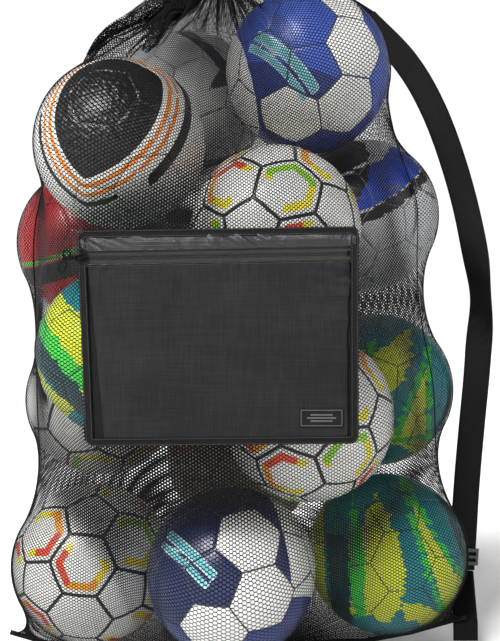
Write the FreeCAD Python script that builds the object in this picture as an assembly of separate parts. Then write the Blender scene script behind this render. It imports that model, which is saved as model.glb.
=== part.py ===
import FreeCAD, Part
import math
import os
from FreeCAD import Vector

# Mesh ball bag, filled with balls: a sack of two net panels with taped seams, a gathered neck hem,
# a flat zipped pocket on the front, and a webbing shoulder strap along its right side.
# Millimetres. +Z is up, +X is the wearer's side with the strap, -Y is the front with the pocket.
# The origin is the middle of the bottom of the overall box, so the bag stands on z = 0. The numbers
# below are measured from the pack's own middle line, which is MIDDLE_X from the middle of that box.
MIDDLE_X = 6.5

# ---- balls: size 5, seated in a front and a back layer --------------------------------------
BALL_R = 110.0
BALL_GAP = 1.0
CASING_WALL = 2.6
BLADDER_WALL = 0.7
BLADDER_GAP = 0.2
VALVE_R = 4.0
VALVE_LENGTH = 13.0
VALVE_SUNK = 0.4
VALVE_FIT = 0.2
NEEDLE_R = 1.0
NEEDLE_DEPTH = 6.0
GOLDEN_ANGLE = 137.5
SETTLE_ROUNDS = 600
SETTLED = 0.0005
TOP_BALL = 0
SEATS = [
    (77, -30, 790),
    (-168, -92, 683),
    (33, -100, 571),
    (157, 85, 604),
    (-221, 88, 566),
    (-164, -100, 415),
    (-207, 100, 338),
    (-217, 22, 117),
    (-26, -82, 128),
    (190, 22, 131),
    (175, 95, 351),
    (75, -100, 332),
    (-90, 110, 768),
    (-12, 118, 262),
    (-22, 122, 492),
]

# ---- sack ------------------------------------------------------------------------------------
NET = 1.5
NET_CLEAR = 3.0
NET_REACH = 170.0
NET_FADE = 1.6
TOP_REACH = 120.0
BLEND = 5.0
TAPE_PROUD = 1.5
TAPE_WIDTH = 3.0
SIDE_SEAM_FROM = 30.0
LOOSE_NET = (-148.0, -12.0, 768.0)
LOOSE_NET_R = 86.0
SMOOTH_LEVELS = 30
SMOOTH_TOP = 866.0
GATHER_FROM = 800.0
CAP_LEVELS = (880.0, 890.0, 897.0, 902.0)
OUTLINE_POINTS = 40
FINE_ANGLES = 240
BAG_AXIS = (-10.0, 0.0)
AXIS_BEND_FROM = 620.0
EAR_LEFT = [(-250, 0), (-322, 0), (-330, 16), (-318, 40), (-300, 70)]
EAR_RIGHT = [(225, 0), (300, 0), (314, 22), (310, 54), (296, 66), (270, 78)]

# ---- neck ------------------------------------------------------------------------------------
NECK = (-38.0, -20.0)
NECK_Z = 911.0
NECK_TOP = 956.0
NECK_R = 34.0
MOUTH_R = 20.0
CONE_FLARE = 0.95
CONE_DEPTH = 100.0
CHANNEL_R = 4.0
CORD_R = 3.0
EYELET_ANGLES = (-108.0, -72.0)
EYELET_OUTER = 4.2
EYELET_BORE = 2.6
EYELET_FLANGE = 6.5

# ---- pocket: corners as (x, z), clockwise from the top left -----------------------------------
POCKET = [(-202.0, 560.0), (127.0, 565.0), (127.0, 311.0), (-192.0, 308.0)]
POCKET_BACK_Y = -221.0
SHEET = 2.0
POCKET_DEPTH = 12.0
BINDING_WIDTH = 10.0
BINDING = 2.0
LABEL = (58.0, 330.5, 51.0, 21.5)
LABEL_THICK = 1.2

# ---- zip -------------------------------------------------------------------------------------
ZIP_START = (-202.0, 528.0)
ZIP_END = (127.0, 534.0)
ZIP_GAP = 8.0
TAPE_OUTER = 12.0
ZIP_TAPE = 0.6
COIL_R = 1.0
COIL_OFFSET = 1.5
ZIP_ENDS = (-3.5, 10.0)
SLIDER_AT = 7.0
SLIDER = (12.0, 9.6)
SLIDER_PLATE = 1.2
SLIDER_HALF = 2.6
BAIL_RISE = 5.2
BAIL_BAR = 1.0
STOP = 4.0
LINK_AT = 4.2
LINK_DEPTH = -5.8
LINK_THICK = 1.4
LINK_HALF = 3.2
LINK_FRAME = 8.0
LINK_REACH = 12.0
LINK_WIRE = 1.0
LINK_TONGUE = 2.0
LINK_PIN_R = 1.1
PIN_HEAD = 0.8
GRIP_THICK = 2.0
GRIP_GAP = 0.15
GRIP_RING = (-4.2, 4.4, 5.2, 3.1)
GRIP_OVAL = (-8.6, -8.0, 5.0, 2.8)
GRIP_OVAL_STRETCH = 4.6
GRIP_EYE = (2.7, 1.3)

# ---- strap: centre line as (x, z), in a plane of its own beside the bag -------------------------
STRAP_Y = 92.0
WEBBING = 2.0
STRAP_WIDTH = 38.0
STRAP_FOOT = (308.0, 92.0)
STRAP_STRAIGHT = (315.0, 205.0)
STRAP_ROUTE = [(323, 300), (332, 400), (336, 490), (321, 590), (298, 680), (266, 765), (226, 833)]
STRAP_HEAD = (168.0, 893.0)
RUN_DROP = [(0.0, 933.0), (60.0, 931.0), (120.0, 921.0), (170.0, 905.0)]
TAB_WIDTH = 34.0
TAB_SEWN = 22.0
TAB_BEND = (297.0, 36.0)
ADJUSTER = (47.0, 7.0, 24.0)
ADJUSTER_SLOT = (39.4, 3.4)
ADJUSTER_WINDOW = (5.0, 10.0)
ADJUSTER_ROUND = 2.4
ADJUSTER_SHARE = 0.07
END_GAP = 0.8

# ---- helpers ---------------------------------------------------------------------------------


def block(low, high):
    """A box between two corners."""
    size = Vector(*high) - Vector(*low)
    return Part.makeBox(size.x, size.y, size.z, Vector(*low))


def prism(points, y0, y1):
    """A polygon of (x, z) points, extruded from y0 to y1."""
    ring = [Vector(x, y0, z) for x, z in points]
    face = Part.Face(Part.makePolygon(ring + ring[:1]))
    return face.extrude(Vector(0, y1 - y0, 0))


def largest(shape):
    """The biggest solid of a shape, for a cut that may leave slivers."""
    return max(shape.Solids, key=lambda solid: solid.Volume)


def inset(points, amount):
    """A convex clockwise polygon of (x, z) points, moved in by amount on every side."""
    out = []
    for k, (x, z) in enumerate(points):
        x0, z0 = points[k - 1]
        x1, z1 = points[(k + 1) % len(points)]
        a = Vector(x - x0, 0, z - z0).normalize()
        b = Vector(x1 - x, 0, z1 - z).normalize()
        na = Vector(a.z, 0, -a.x)
        nb = Vector(b.z, 0, -b.x)
        shift = (na + nb) * (amount / (1 + na.dot(nb)))
        out.append((x + shift.x, z + shift.z))
    return out


def save(name, solids):
    """One STEP file for a node, of one solid or a group of separate ones."""
    group = solids if isinstance(solids, list) else [solids]
    shape = group[0] if len(group) == 1 else Part.makeCompound(group)
    if not shape.isValid():
        print("not valid:", name)
    shape.translate(Vector(-MIDDLE_X, 0, 0))
    shape.exportStep(os.path.join("parts", name + ".step"))


# ---- balls -----------------------------------------------------------------------------------


def settle(seats):
    """Push the balls apart until none touch, keeping them off the floor."""
    points = [Vector(*seat) for seat in seats]
    apart = 2 * BALL_R + BALL_GAP
    for _ in range(SETTLE_ROUNDS):
        worst = 0.0
        for j in range(len(points)):
            for i in range(j):
                gap = points[j] - points[i]
                short = apart - gap.Length
                if short > 0:
                    push = gap * (0.5 * short / gap.Length)
                    points[i] = points[i] - push
                    points[j] = points[j] + push
                    worst = max(worst, short)
        for point in points:
            point.z = max(point.z, BALL_R + NET + NET_CLEAR)
        if worst < SETTLED:
            break
    return points


def valve_axis(k):
    """The direction of ball k's valve, turned from ball to ball."""
    turn = math.radians(GOLDEN_ANGLE * k)
    return Vector(math.cos(turn) * 0.8, abs(math.sin(turn)) * 0.6 + 0.3, 0.5).normalize()


def shell(centre, outer, wall, hole, axis):
    """A hollow sphere with a valve hole."""
    ball = Part.makeSphere(outer, centre).cut(Part.makeSphere(outer - wall, centre))
    return ball.cut(Part.makeCylinder(hole, outer, centre + axis * (outer / 2), axis))


def valve(centre, axis):
    """A rubber plug whose mouth is just below the casing's surface."""
    foot = centre + axis * (BALL_R - VALVE_LENGTH)
    plug = Part.makeCylinder(VALVE_R, VALVE_LENGTH - VALVE_SUNK, foot, axis)
    needle_way = Part.makeCylinder(NEEDLE_R, VALVE_LENGTH, centre + axis * (BALL_R - NEEDLE_DEPTH), axis)
    return plug.cut(needle_way)


def make_balls(centres):
    bladders = []
    valves = []
    for k, centre in enumerate(centres):
        axis = valve_axis(k)
        save("ball_%02d" % (k + 1), shell(centre, BALL_R, CASING_WALL, VALVE_R + VALVE_FIT, axis))
        inner = BALL_R - CASING_WALL - BLADDER_GAP
        bladders.append(shell(centre, inner, BLADDER_WALL, VALVE_R + VALVE_FIT / 2, axis))
        valves.append(valve(centre, axis))
    save("ball_bladders", bladders)
    save("ball_valves", valves)


# ---- sack ------------------------------------------------------------------------------------


def discs_at(z, centres):
    """What pushes the net out at height z: discs of (x, y, radius)."""
    discs = []
    for k, c in enumerate(centres):
        dz = z - c.z
        if k == TOP_BALL and dz > 0:
            if dz < TOP_REACH:
                discs.append((c.x, c.y, BALL_R * math.sqrt(1 - (dz / TOP_REACH) ** 2)))
        elif abs(dz) < NET_FADE * NET_REACH:
            discs.append((c.x, c.y, BALL_R * (1 - (dz / NET_REACH) ** 2)))
    x, y, loose_z = LOOSE_NET
    if abs(z - loose_z) < NET_FADE * NET_REACH:
        discs.append((x, y, LOOSE_NET_R * (1 - ((z - loose_z) / NET_REACH) ** 2)))
    if z > NECK_Z - CONE_DEPTH:
        discs.append((NECK[0], NECK[1], NECK_R + CONE_FLARE * (NECK_Z - z)))
    return discs


def middle_at(z):
    """The point inside the sack that an outline at height z is spread round."""
    t = max(0.0, (z - AXIS_BEND_FROM) / (NECK_Z - AXIS_BEND_FROM))
    return tuple(b + (n - b) * t for b, n in zip(BAG_AXIS, NECK))


def support(discs, mid, turn):
    """How far the taut net reaches from mid in one direction: a smooth maximum over the discs."""
    c, s = math.cos(turn), math.sin(turn)
    reach = [(x - mid[0]) * c + (y - mid[1]) * s + r for x, y, r in discs]
    top = max(reach)
    return top + BLEND * math.log(sum(math.exp((h - top) / BLEND) for h in reach))


def outline(z, clear, centres, at=None):
    """A closed smooth wire round the discs of height z, drawn at height at."""
    discs = discs_at(z, centres)
    mid = middle_at(z)
    turns = [2 * math.pi * k / FINE_ANGLES for k in range(FINE_ANGLES)]
    reach = [support(discs, mid, turn) + clear for turn in turns]
    points = []
    for k in range(OUTLINE_POINTS):
        a = 2 * math.pi * k / OUTLINE_POINTS
        r = min(h / math.cos(t - a) for t, h in zip(turns, reach) if math.cos(t - a) > 0.05)
        points.append(Vector(mid[0] + r * math.cos(a), mid[1] + r * math.sin(a), z if at is None else at))
    return spline_ring(points)


def spline_ring(points):
    curve = Part.BSplineCurve()
    count = len(points)
    curve.interpolate(Points=points, PeriodicFlag=True, Parameters=[float(k) for k in range(count + 1)])
    return Part.Wire([curve.toShape()])


def neck_ring(radius, z):
    mid = Vector(NECK[0], NECK[1], z)
    ring = []
    for k in range(OUTLINE_POINTS):
        a = 2 * math.pi * k / OUTLINE_POINTS
        ring.append(mid + Vector(math.cos(a), math.sin(a), 0) * radius)
    return spline_ring(ring)


def sack_body(clear, floor, drop, centres):
    """The sack as one full solid: a smooth body, and a cap that closes in to the neck."""
    step = SMOOTH_TOP / SMOOTH_LEVELS
    levels = [step * k for k in range(SMOOTH_LEVELS + 1)]
    rings = [outline(z, clear, centres, max(floor, z)) for z in levels]
    body = Part.makeLoft(rings, True, False)
    rings = [outline(SMOOTH_TOP, clear, centres)]
    rings += [outline(z, clear, centres, z - drop) for z in CAP_LEVELS]
    rings.append(neck_ring(NECK_R + clear - NET_CLEAR - NET, NECK_Z - drop))
    return body.fuse(Part.makeLoft(rings, True, True))


def make_sack(centres):
    outer = sack_body(NET_CLEAR + NET, 0.0, 0.0, centres)
    inner = sack_body(NET_CLEAR, NET, NET, centres)
    taped = sack_body(NET_CLEAR + NET + TAPE_PROUD, 0.0, 0.0, centres)
    mouth = Part.makeCylinder(MOUTH_R, 60, Vector(NECK[0], NECK[1], NECK_Z - 40))
    hollow = inner.fuse(mouth)
    far = 600.0
    half = TAPE_WIDTH / 2
    for name, y0, y1 in (("front", -far, -half), ("back", half, far)):
        skin = outer.common(block((-far, y0, -1), (far, y1, 2 * far))).cut(hollow)
        low = block((-far, y0, -1), (far, y1, GATHER_FROM))
        high = block((-far, y0, GATHER_FROM), (far, y1, 2 * far))
        save("mesh_%s_panel" % name, largest(skin.common(low)))
        save("mesh_%s_gather" % name, largest(skin.common(high)))
    seam = taped.common(block((-far, -half, -1), (far, half, NECK_Z))).cut(hollow)
    low = SIDE_SEAM_FROM
    save("seam_tape_left", largest(seam.common(block((-far, -far, low), (NECK[0], far, 2 * far)))))
    save("seam_tape_right", largest(seam.common(block((NECK[0], -far, low), (far, far, 2 * far)))))
    save("seam_tape_bottom", largest(seam.common(block((-far, -far, -1), (far, far, low)))))
    save("corner_ear_left", largest(prism(EAR_LEFT, -half, half).cut(taped)))
    save("corner_ear_right", largest(prism(EAR_RIGHT, -half, half).cut(taped)))
    box = outer.BoundBox
    print("sack box", [round(v, 1) for v in (box.XMin, box.XMax, box.YMin, box.YMax, box.ZMin, box.ZMax)])


# ---- neck ------------------------------------------------------------------------------------


def eyelet_axis(angle):
    turn = math.radians(angle)
    return Vector(math.cos(turn), math.sin(turn), 0)


def make_neck():
    mid = Vector(NECK[0], NECK[1], NECK_Z)
    height = NECK_TOP - NECK_Z
    centre = mid + Vector(0, 0, height / 2)
    channel = (NECK_R + MOUTH_R) / 2
    hem = Part.makeCylinder(NECK_R, height, mid).cut(Part.makeCylinder(MOUTH_R, height, mid))
    hem = hem.cut(Part.makeTorus(channel, CHANNEL_R, centre))
    eyelets = []
    for angle in EYELET_ANGLES:
        axis = eyelet_axis(angle)
        start = centre + axis * (channel + CHANNEL_R - 1)
        hem = hem.cut(Part.makeCylinder(EYELET_OUTER, NECK_R, start, axis))
        depth = NECK_R - channel - CHANNEL_R
        ring = Part.makeCylinder(EYELET_OUTER, depth, centre + axis * (channel + CHANNEL_R), axis)
        flange = Part.makeCylinder(EYELET_FLANGE, 1.2, centre + axis * NECK_R, axis)
        bore = Part.makeCylinder(EYELET_BORE, NECK_R, start, axis)
        eyelets.append(ring.fuse(flange).cut(bore).removeSplitter())
    save("neck_hem", largest(hem))
    save("hem_eyelets", eyelets)
    save("drawcord_loop", Part.makeTorus(channel, CORD_R, centre))


# ---- pocket ----------------------------------------------------------------------------------


def pocket_side(z):
    """The x of the pocket's slanted left edge at height z."""
    (x0, z0), (x1, z1) = POCKET[0], POCKET[3]
    return x0 + (x1 - x0) * (z0 - z) / (z0 - z1)


def zip_notch():
    """The gap in the left binding where the end of the zip comes through."""
    x, z = ZIP_START
    return [(x - 20, z - ZIP_GAP), (x + 20, z - ZIP_GAP), (x + 20, z + ZIP_GAP), (x - 20, z + ZIP_GAP)]


def make_pocket():
    back = POCKET_BACK_Y
    front = back - POCKET_DEPTH - SHEET
    left = ZIP_START[1]
    right = ZIP_END[1]
    width = POCKET[1][0]
    below = [(pocket_side(left - ZIP_GAP), left - ZIP_GAP), (width, right - ZIP_GAP)] + POCKET[2:]
    above = POCKET[:2] + [(width, right + ZIP_GAP), (pocket_side(left + ZIP_GAP), left + ZIP_GAP)]
    cavity = prism(inset(POCKET, SHEET), back + 1, back - POCKET_DEPTH)
    save("pocket_panel", largest(prism(below, back, front).cut(cavity)))
    save("pocket_header", largest(prism(above, back, front).cut(cavity)))
    save("pocket_back", prism(POCKET, back, back + SHEET))
    inner = inset(POCKET, BINDING_WIDTH)
    notch = prism(zip_notch(), back, front - 2 * BINDING)
    for k, side in enumerate(("top", "right", "bottom", "left")):
        j = (k + 1) % 4
        strip = prism([POCKET[k], POCKET[j], inner[j], inner[k]], front, front - BINDING)
        save("binding_" + side, strip.cut(notch).Solids)
    x, z, w, h = LABEL
    corners = [(x, z), (x, z + h), (x + w, z + h), (x + w, z)]
    save("label_patch", prism(corners, front, front - LABEL_THICK))


# ---- zip: built along +X at the origin, then laid in its place ----------------------------------


def zip_length():
    return math.dist(ZIP_START, ZIP_END)


def lay_zip(shape):
    """Tilt a zip piece to the zip's line and move it to the zip's start."""
    rise = math.degrees(math.atan2(ZIP_END[1] - ZIP_START[1], ZIP_END[0] - ZIP_START[0]))
    shape.rotate(Vector(0, 0, 0), Vector(0, 1, 0), -rise)
    depth = POCKET_BACK_Y - POCKET_DEPTH + ZIP_TAPE / 2
    shape.translate(Vector(ZIP_START[0], depth, ZIP_START[1]))
    return shape


def slider_body():
    """Two plates held by a thin post between the coils, with lips and a bail for the link."""
    length, width = SLIDER
    x0 = SLIDER_AT - length / 2
    x1 = SLIDER_AT + length / 2
    half = width / 2
    body = block((x1 - 1.6, -SLIDER_HALF, -0.3), (x1, SLIDER_HALF, 0.3))
    for side in (-1, 1):
        y0, y1 = sorted((side * SLIDER_HALF, side * (SLIDER_HALF - SLIDER_PLATE)))
        plate = block((x0, y0, -half), (x1, y1, half))
        ends = [edge for edge in plate.Edges if abs(edge.Length - SLIDER_PLATE) < 0.01]
        body = body.fuse(plate.makeFillet(2.0, ends))
        lip0, lip1 = sorted((side * SLIDER_HALF, side * 0.75))
        for edge in (-1, 1):
            z0, z1 = sorted((edge * half, edge * (half - 1.0)))
            body = body.fuse(block((x0 + 2.2, lip0, z0), (x1 - 2.2, lip1, z1)))
    rise = -SLIDER_HALF - BAIL_RISE
    top = block((x0 + 1.5, rise, -0.8), (x1 - 1.5, rise + BAIL_BAR, 0.8))
    rear = block((x0 + 1.5, rise, -0.8), (x0 + 2.7, -SLIDER_HALF, 0.8))
    nose = block((x1 - 2.7, rise, -0.8), (x1 - 1.5, -SLIDER_HALF, 0.8))
    return body.fuse([top, rear, nose]).removeSplitter()


def pull_link(x):
    """A flat frame round the bail's rear post, with a tongue and a pin for the grip; x is its hinge."""
    back = LINK_DEPTH - LINK_THICK / 2
    front = LINK_DEPTH + LINK_THICK / 2
    bar = LINK_THICK / 2
    body = block((x - LINK_FRAME, back, -LINK_HALF), (x + bar, front, LINK_HALF))
    gap = LINK_HALF - LINK_WIRE
    body = body.cut(block((x - LINK_FRAME + 2 * bar, back - 1, -gap), (x - bar, front + 1, gap)))
    body = body.fuse(block((x - LINK_REACH, back, -LINK_TONGUE), (x - LINK_FRAME, front, LINK_TONGUE)))
    toward = Vector(0, -1, 0)
    pin = Vector(x - LINK_REACH, front, 0)
    body = body.fuse(Part.makeCylinder(LINK_TONGUE, LINK_THICK, pin, toward))
    reach = LINK_THICK + GRIP_THICK + 2 * GRIP_GAP
    body = body.fuse(Part.makeCylinder(LINK_PIN_R, reach, pin, toward))
    head = Part.makeCylinder(LINK_PIN_R + PIN_HEAD, PIN_HEAD, pin + toward * reach, toward)
    return body.fuse(head).removeSplitter()


def pull_grip(x):
    """A cast grip: a ring above, a long oval below, and an eye on the link's pin."""
    y = LINK_DEPTH - LINK_THICK / 2 - GRIP_GAP
    toward = Vector(0, -1, 0)
    eye_r, eye_hole = GRIP_EYE
    ring_x, ring_z, ring_r, ring_hole = GRIP_RING
    oval_x, oval_z, oval_r, oval_hole = GRIP_OVAL
    pin = Vector(x, y, 0)
    ring = pin + Vector(ring_x, 0, ring_z)
    oval = pin + Vector(oval_x, 0, oval_z)
    lean = (oval - ring).normalize() * GRIP_OVAL_STRETCH
    stem = slot_plate(pin, (ring + oval) * 0.5, eye_r, y)
    body = slot_plate(oval, oval + lean, oval_r, y)
    body = body.fuse([Part.makeCylinder(ring_r, GRIP_THICK, ring, toward), stem])
    body = body.cut(slot_plate(oval, oval + lean, oval_hole, y))
    for at, r in ((pin, eye_hole), (ring, ring_hole)):
        body = body.cut(Part.makeCylinder(r, 2 * GRIP_THICK, at - toward * 0.5 * GRIP_THICK, toward))
    return body.removeSplitter()


def slot_plate(a, b, r, y):
    """A round-ended plate between two points, r to each side, as thick as the grip."""
    along = (b - a).normalize()
    side = Vector(-along.z, 0, along.x) * r
    toward = Vector(0, -GRIP_THICK, 0)
    ring = [a + side, b + side, b - side, a - side, a + side]
    body = Part.Face(Part.makePolygon(ring)).extrude(toward)
    ends = [Part.makeCylinder(r, GRIP_THICK, at, Vector(0, -1, 0)) for at in (a, b)]
    return body.fuse(ends)


def make_zip():
    length = zip_length()
    first, last = ZIP_ENDS[0], length - ZIP_ENDS[1]
    half = ZIP_TAPE / 2
    reach = COIL_OFFSET + COIL_R
    front = POCKET_BACK_Y - POCKET_DEPTH - SHEET
    walls = prism(POCKET, POCKET_BACK_Y, front).cut(prism(inset(POCKET, SHEET), POCKET_BACK_Y + 1, front))
    for name, side in (("lower", -1), ("upper", 1)):
        z0, z1 = sorted((side * reach, side * TAPE_OUTER))
        tape = lay_zip(block((first, -half, z0), (last, half, z1)))
        save("zip_tape_" + name, largest(tape.cut(walls)))
        centre = Vector(first + STOP, 0, side * COIL_OFFSET)
        coil = Part.makeCylinder(COIL_R, last - first - 2 * STOP, centre, Vector(1, 0, 0))
        save("zip_coil_" + name, lay_zip(coil))
    stops = [block((x, -1.6, 0.1 - reach), (x + STOP, 1.6, reach - 0.1)) for x in (first, last - STOP)]
    save("zip_stops", [lay_zip(stop) for stop in stops])
    save("zip_slider", lay_zip(slider_body()))
    hinge = SLIDER_AT - SLIDER[0] / 2 + LINK_AT
    save("zip_pull_link", lay_zip(pull_link(hinge)))
    save("zip_pull_grip", lay_zip(pull_grip(hinge - LINK_REACH)))
    for name, x in (("zip start", 0), ("link hinge", hinge), ("grip pin", hinge - LINK_REACH)):
        point = lay_zip(Part.Vertex(x, LINK_DEPTH, 0)).Point
        print(name, [round(v, 2) for v in point - Vector(MIDDLE_X, 0, 0)])


# ---- strap -----------------------------------------------------------------------------------


def band(route, y, width, thick):
    """A flat webbing band along (x, z) points, in the plane y, facing along Y."""
    line = Part.BSplineCurve()
    line.interpolate([Vector(x, y, z) for x, z in route])
    edges = []
    count = 6 * len(route)
    for side in (-1, 1):
        points = []
        for k in range(count + 1):
            t = line.FirstParameter + (line.LastParameter - line.FirstParameter) * k / count
            along = line.tangent(t)[0]
            points.append(line.value(t) + Vector(along.z, 0, -along.x) * (side * width / 2))
        edge = Part.BSplineCurve()
        edge.interpolate(points)
        edges.append((edge.toShape(), points[0], points[-1]))
    (one, a0, a1), (two, b0, b1) = edges
    rim = [one, Part.LineSegment(a1, b1).toShape(), two, Part.LineSegment(b0, a0).toShape()]
    face = Part.Face(Part.Wire(Part.__sortEdges__(rim)))
    return face.extrude(Vector(0, thick, 0))


def strap_axis():
    foot = Vector(STRAP_FOOT[0], STRAP_Y, STRAP_FOOT[1])
    head = Vector(STRAP_HEAD[0], STRAP_Y, STRAP_HEAD[1])
    return foot, head, (head - foot).normalize()


def half_space(point, axis, size=900.0):
    """Everything beyond a plane through point, as a big block along axis."""
    slab = Part.makeBox(2 * size, 2 * size, size, Vector(-size, -size, 0))
    turn = FreeCAD.Rotation(Vector(0, 0, 1), axis)
    slab.Placement = FreeCAD.Placement(point, turn)
    return slab


def make_strap():
    foot, head, axis = strap_axis()
    middle = [(STRAP_FOOT[0] + (STRAP_STRAIGHT[0] - STRAP_FOOT[0]) * t,
               STRAP_FOOT[1] + (STRAP_STRAIGHT[1] - STRAP_FOOT[1]) * t) for t in (-0.25, 0.3, 0.65, 1.0)]
    beyond = (2 * STRAP_HEAD[0] - STRAP_ROUTE[-1][0] + 8, 2 * STRAP_HEAD[1] - STRAP_ROUTE[-1][1] - 14)
    route = middle + STRAP_ROUTE + [STRAP_HEAD, beyond]
    strap = band(route, STRAP_Y, STRAP_WIDTH, WEBBING)
    keep = half_space(foot + axis * END_GAP, axis).common(half_space(head - axis * END_GAP, axis * -1))
    save("shoulder_strap", largest(strap.common(keep)))
    save("strap_adjuster", adjuster())
    save("strap_upper_run", upper_run(head, axis))
    save("strap_corner_tab", corner_tab(foot, axis))


def adjuster():
    """A moulded loop that the webbing runs through, with a raised lip at each end."""
    width, thick, height = ADJUSTER
    slot_w, slot_t = ADJUSTER_SLOT
    body = block((-width / 2, -thick / 2, 0), (width / 2, thick / 2, height))
    rails = [edge for edge in body.Edges if abs(edge.Length - height) < 0.01]
    body = body.makeFillet(ADJUSTER_ROUND, rails)
    body = body.cut(block((-slot_w / 2, -slot_t / 2, -1), (slot_w / 2, slot_t / 2, height + 1)))
    for low, high in (ADJUSTER_WINDOW, (height - ADJUSTER_WINDOW[1], height - ADJUSTER_WINDOW[0])):
        body = body.cut(block((-slot_w / 2, -thick, low), (slot_w / 2, 0, high)))
    lean = math.degrees(math.atan2(STRAP_STRAIGHT[0] - STRAP_FOOT[0], STRAP_STRAIGHT[1] - STRAP_FOOT[1]))
    body.rotate(Vector(0, 0, 0), Vector(0, 1, 0), lean)
    start = adjuster_start()
    body.translate(Vector(start[0], STRAP_Y + WEBBING / 2, start[1]))
    return body


def adjuster_start():
    """The lower end of the adjuster on the strap's straight length."""
    return tuple(f + (s - f) * ADJUSTER_SHARE for f, s in zip(STRAP_FOOT, STRAP_STRAIGHT))


def upper_run(head, axis):
    """The fixed end of the strap, from the neck hem to the place where it hangs free."""
    start = Vector(NECK[0] + 27, NECK[1] + 20.6, 0)
    way = Vector(head.x, head.y, 0) - start
    turn = math.degrees(math.atan2(way.y, way.x))
    drop = RUN_DROP + [(way.Length, STRAP_HEAD[1]), (way.Length + 34, STRAP_HEAD[1] - 30)]
    run = band(drop, 0.0, STRAP_WIDTH, WEBBING)
    run.rotate(Vector(0, 0, 0), Vector(0, 0, 1), turn)
    run.translate(start)
    run = run.common(half_space(head + axis * END_GAP, axis))
    hem = Part.makeCylinder(NECK_R + 0.1, 200, Vector(NECK[0], NECK[1], NECK_Z - 50))
    return largest(run.cut(hem))


def corner_tab(foot, axis):
    """A webbing tab, sewn to the back of the corner ear and folded back up to the strap's foot."""
    half = TAB_WIDTH / 2
    x, z = TAB_BEND
    y = TAPE_WIDTH / 2
    sewn = block((x - half, y, z - TAB_SEWN), (x + half, y + WEBBING, z))
    rise = foot - Vector(x, y, z)
    low = Vector(x - half, y, z)
    across = Vector(TAB_WIDTH, 0, 0)
    through = Vector(0, WEBBING, 0)
    points = [low, low + across, low + across + through, low + through, low]
    leaf = Part.Face(Part.makePolygon(points)).extrude(rise)
    tab = sewn.fuse(leaf).removeSplitter()
    return largest(tab.cut(half_space(foot - axis * END_GAP, axis)))


# ---- build -----------------------------------------------------------------------------------


def main():
    os.makedirs("parts", exist_ok=True)
    centres = settle(SEATS)
    for k, c in enumerate(centres):
        print("ball", k + 1, [round(v, 1) for v in c])
    make_balls(centres)
    make_sack(centres)
    make_neck()
    make_pocket()
    make_zip()
    make_strap()


main()
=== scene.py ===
import math

import bmesh
import bpy
import numpy as np
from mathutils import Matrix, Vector


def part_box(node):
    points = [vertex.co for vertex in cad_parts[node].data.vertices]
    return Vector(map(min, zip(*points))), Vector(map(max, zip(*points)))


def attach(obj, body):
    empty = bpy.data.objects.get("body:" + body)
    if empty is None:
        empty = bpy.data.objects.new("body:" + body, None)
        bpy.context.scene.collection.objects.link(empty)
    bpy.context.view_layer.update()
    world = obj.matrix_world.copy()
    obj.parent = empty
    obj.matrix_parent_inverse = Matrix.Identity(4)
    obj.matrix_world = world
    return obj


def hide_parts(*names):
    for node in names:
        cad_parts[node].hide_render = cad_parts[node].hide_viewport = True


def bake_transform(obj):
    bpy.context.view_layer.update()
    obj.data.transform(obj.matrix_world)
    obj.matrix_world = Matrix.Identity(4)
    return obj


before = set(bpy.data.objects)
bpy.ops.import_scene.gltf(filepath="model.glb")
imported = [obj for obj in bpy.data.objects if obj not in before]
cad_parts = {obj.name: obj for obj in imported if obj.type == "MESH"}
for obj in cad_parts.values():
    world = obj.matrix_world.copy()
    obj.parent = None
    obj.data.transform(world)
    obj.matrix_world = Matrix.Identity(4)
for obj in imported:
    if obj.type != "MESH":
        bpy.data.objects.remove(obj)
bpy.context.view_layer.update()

MM = 0.001
# The thickness of the pocket's cloth, and of the strap's webbing.
CLOTH = 0.5 * MM
WEB = 1.8 * MM

# ---- the pocket and its zip ----------------------------------------------------------------------
POCKET_X = (-0.2085, 0.1205)
# Corners as (x, z): bottom left, bottom right, top right, top left.
POCKET = np.array([(-0.1985, 0.3080), (0.1205, 0.3110), (0.1205, 0.5650), (-0.2085, 0.5600)])
POCKET_BACK = -0.2205
POCKET_FRONT = -0.2345
ZIP_FROM = np.array([-0.2085, 0.5280])
ZIP_TO = np.array([0.1205, 0.5340])
ZIP_HALF = 0.0080
ZIP_Y = -0.2327

# ---- places read from the frame ------------------------------------------------------------------
BALL_R = 0.110
BALLS = ["ball_%02d" % k for k in range(1, 16)]


def middle(node):
    """The middle of a CAD node's box."""
    low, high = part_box(node)
    return np.array([(a + b) / 2 for a, b in zip(low, high)])


CENTRES = np.array([middle(node) for node in BALLS])
HEM_LOW, HEM_HIGH = (np.array(c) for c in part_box("neck_hem"))
NECK = np.array([(HEM_LOW[0] + HEM_HIGH[0]) / 2, (HEM_LOW[1] + HEM_HIGH[1]) / 2, HEM_LOW[2]])
EAR_LEFT = np.array(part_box("corner_ear_left")[0])
EAR_RIGHT = np.array(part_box("corner_ear_right")[1])
MID_X = -0.0065

# ---- camera --------------------------------------------------------------------------------------
CAMERA_BACK = 1.560
CAMERA_UP = 0.455
CAMERA_LENS = 63.7
SENSOR_WIDTH = 36


def place_object(data, place, turn):
    """Put a camera or a lamp in the scene."""
    obj = bpy.data.objects.new(data.name, data)
    obj.location = place
    obj.rotation_euler = turn
    bpy.context.scene.collection.objects.link(obj)
    return obj


def make_camera():
    """The photo's camera, level and straight in front of the bag."""
    data = bpy.data.cameras.new("camera")
    data.lens = CAMERA_LENS
    data.sensor_width = SENSOR_WIDTH
    data.clip_start = 0.05
    place = (MID_X, -CAMERA_BACK, CAMERA_UP)
    bpy.context.scene.camera = place_object(data, place, (math.radians(90), 0, 0))


# ---- mesh and object helpers ---------------------------------------------------------------------


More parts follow.
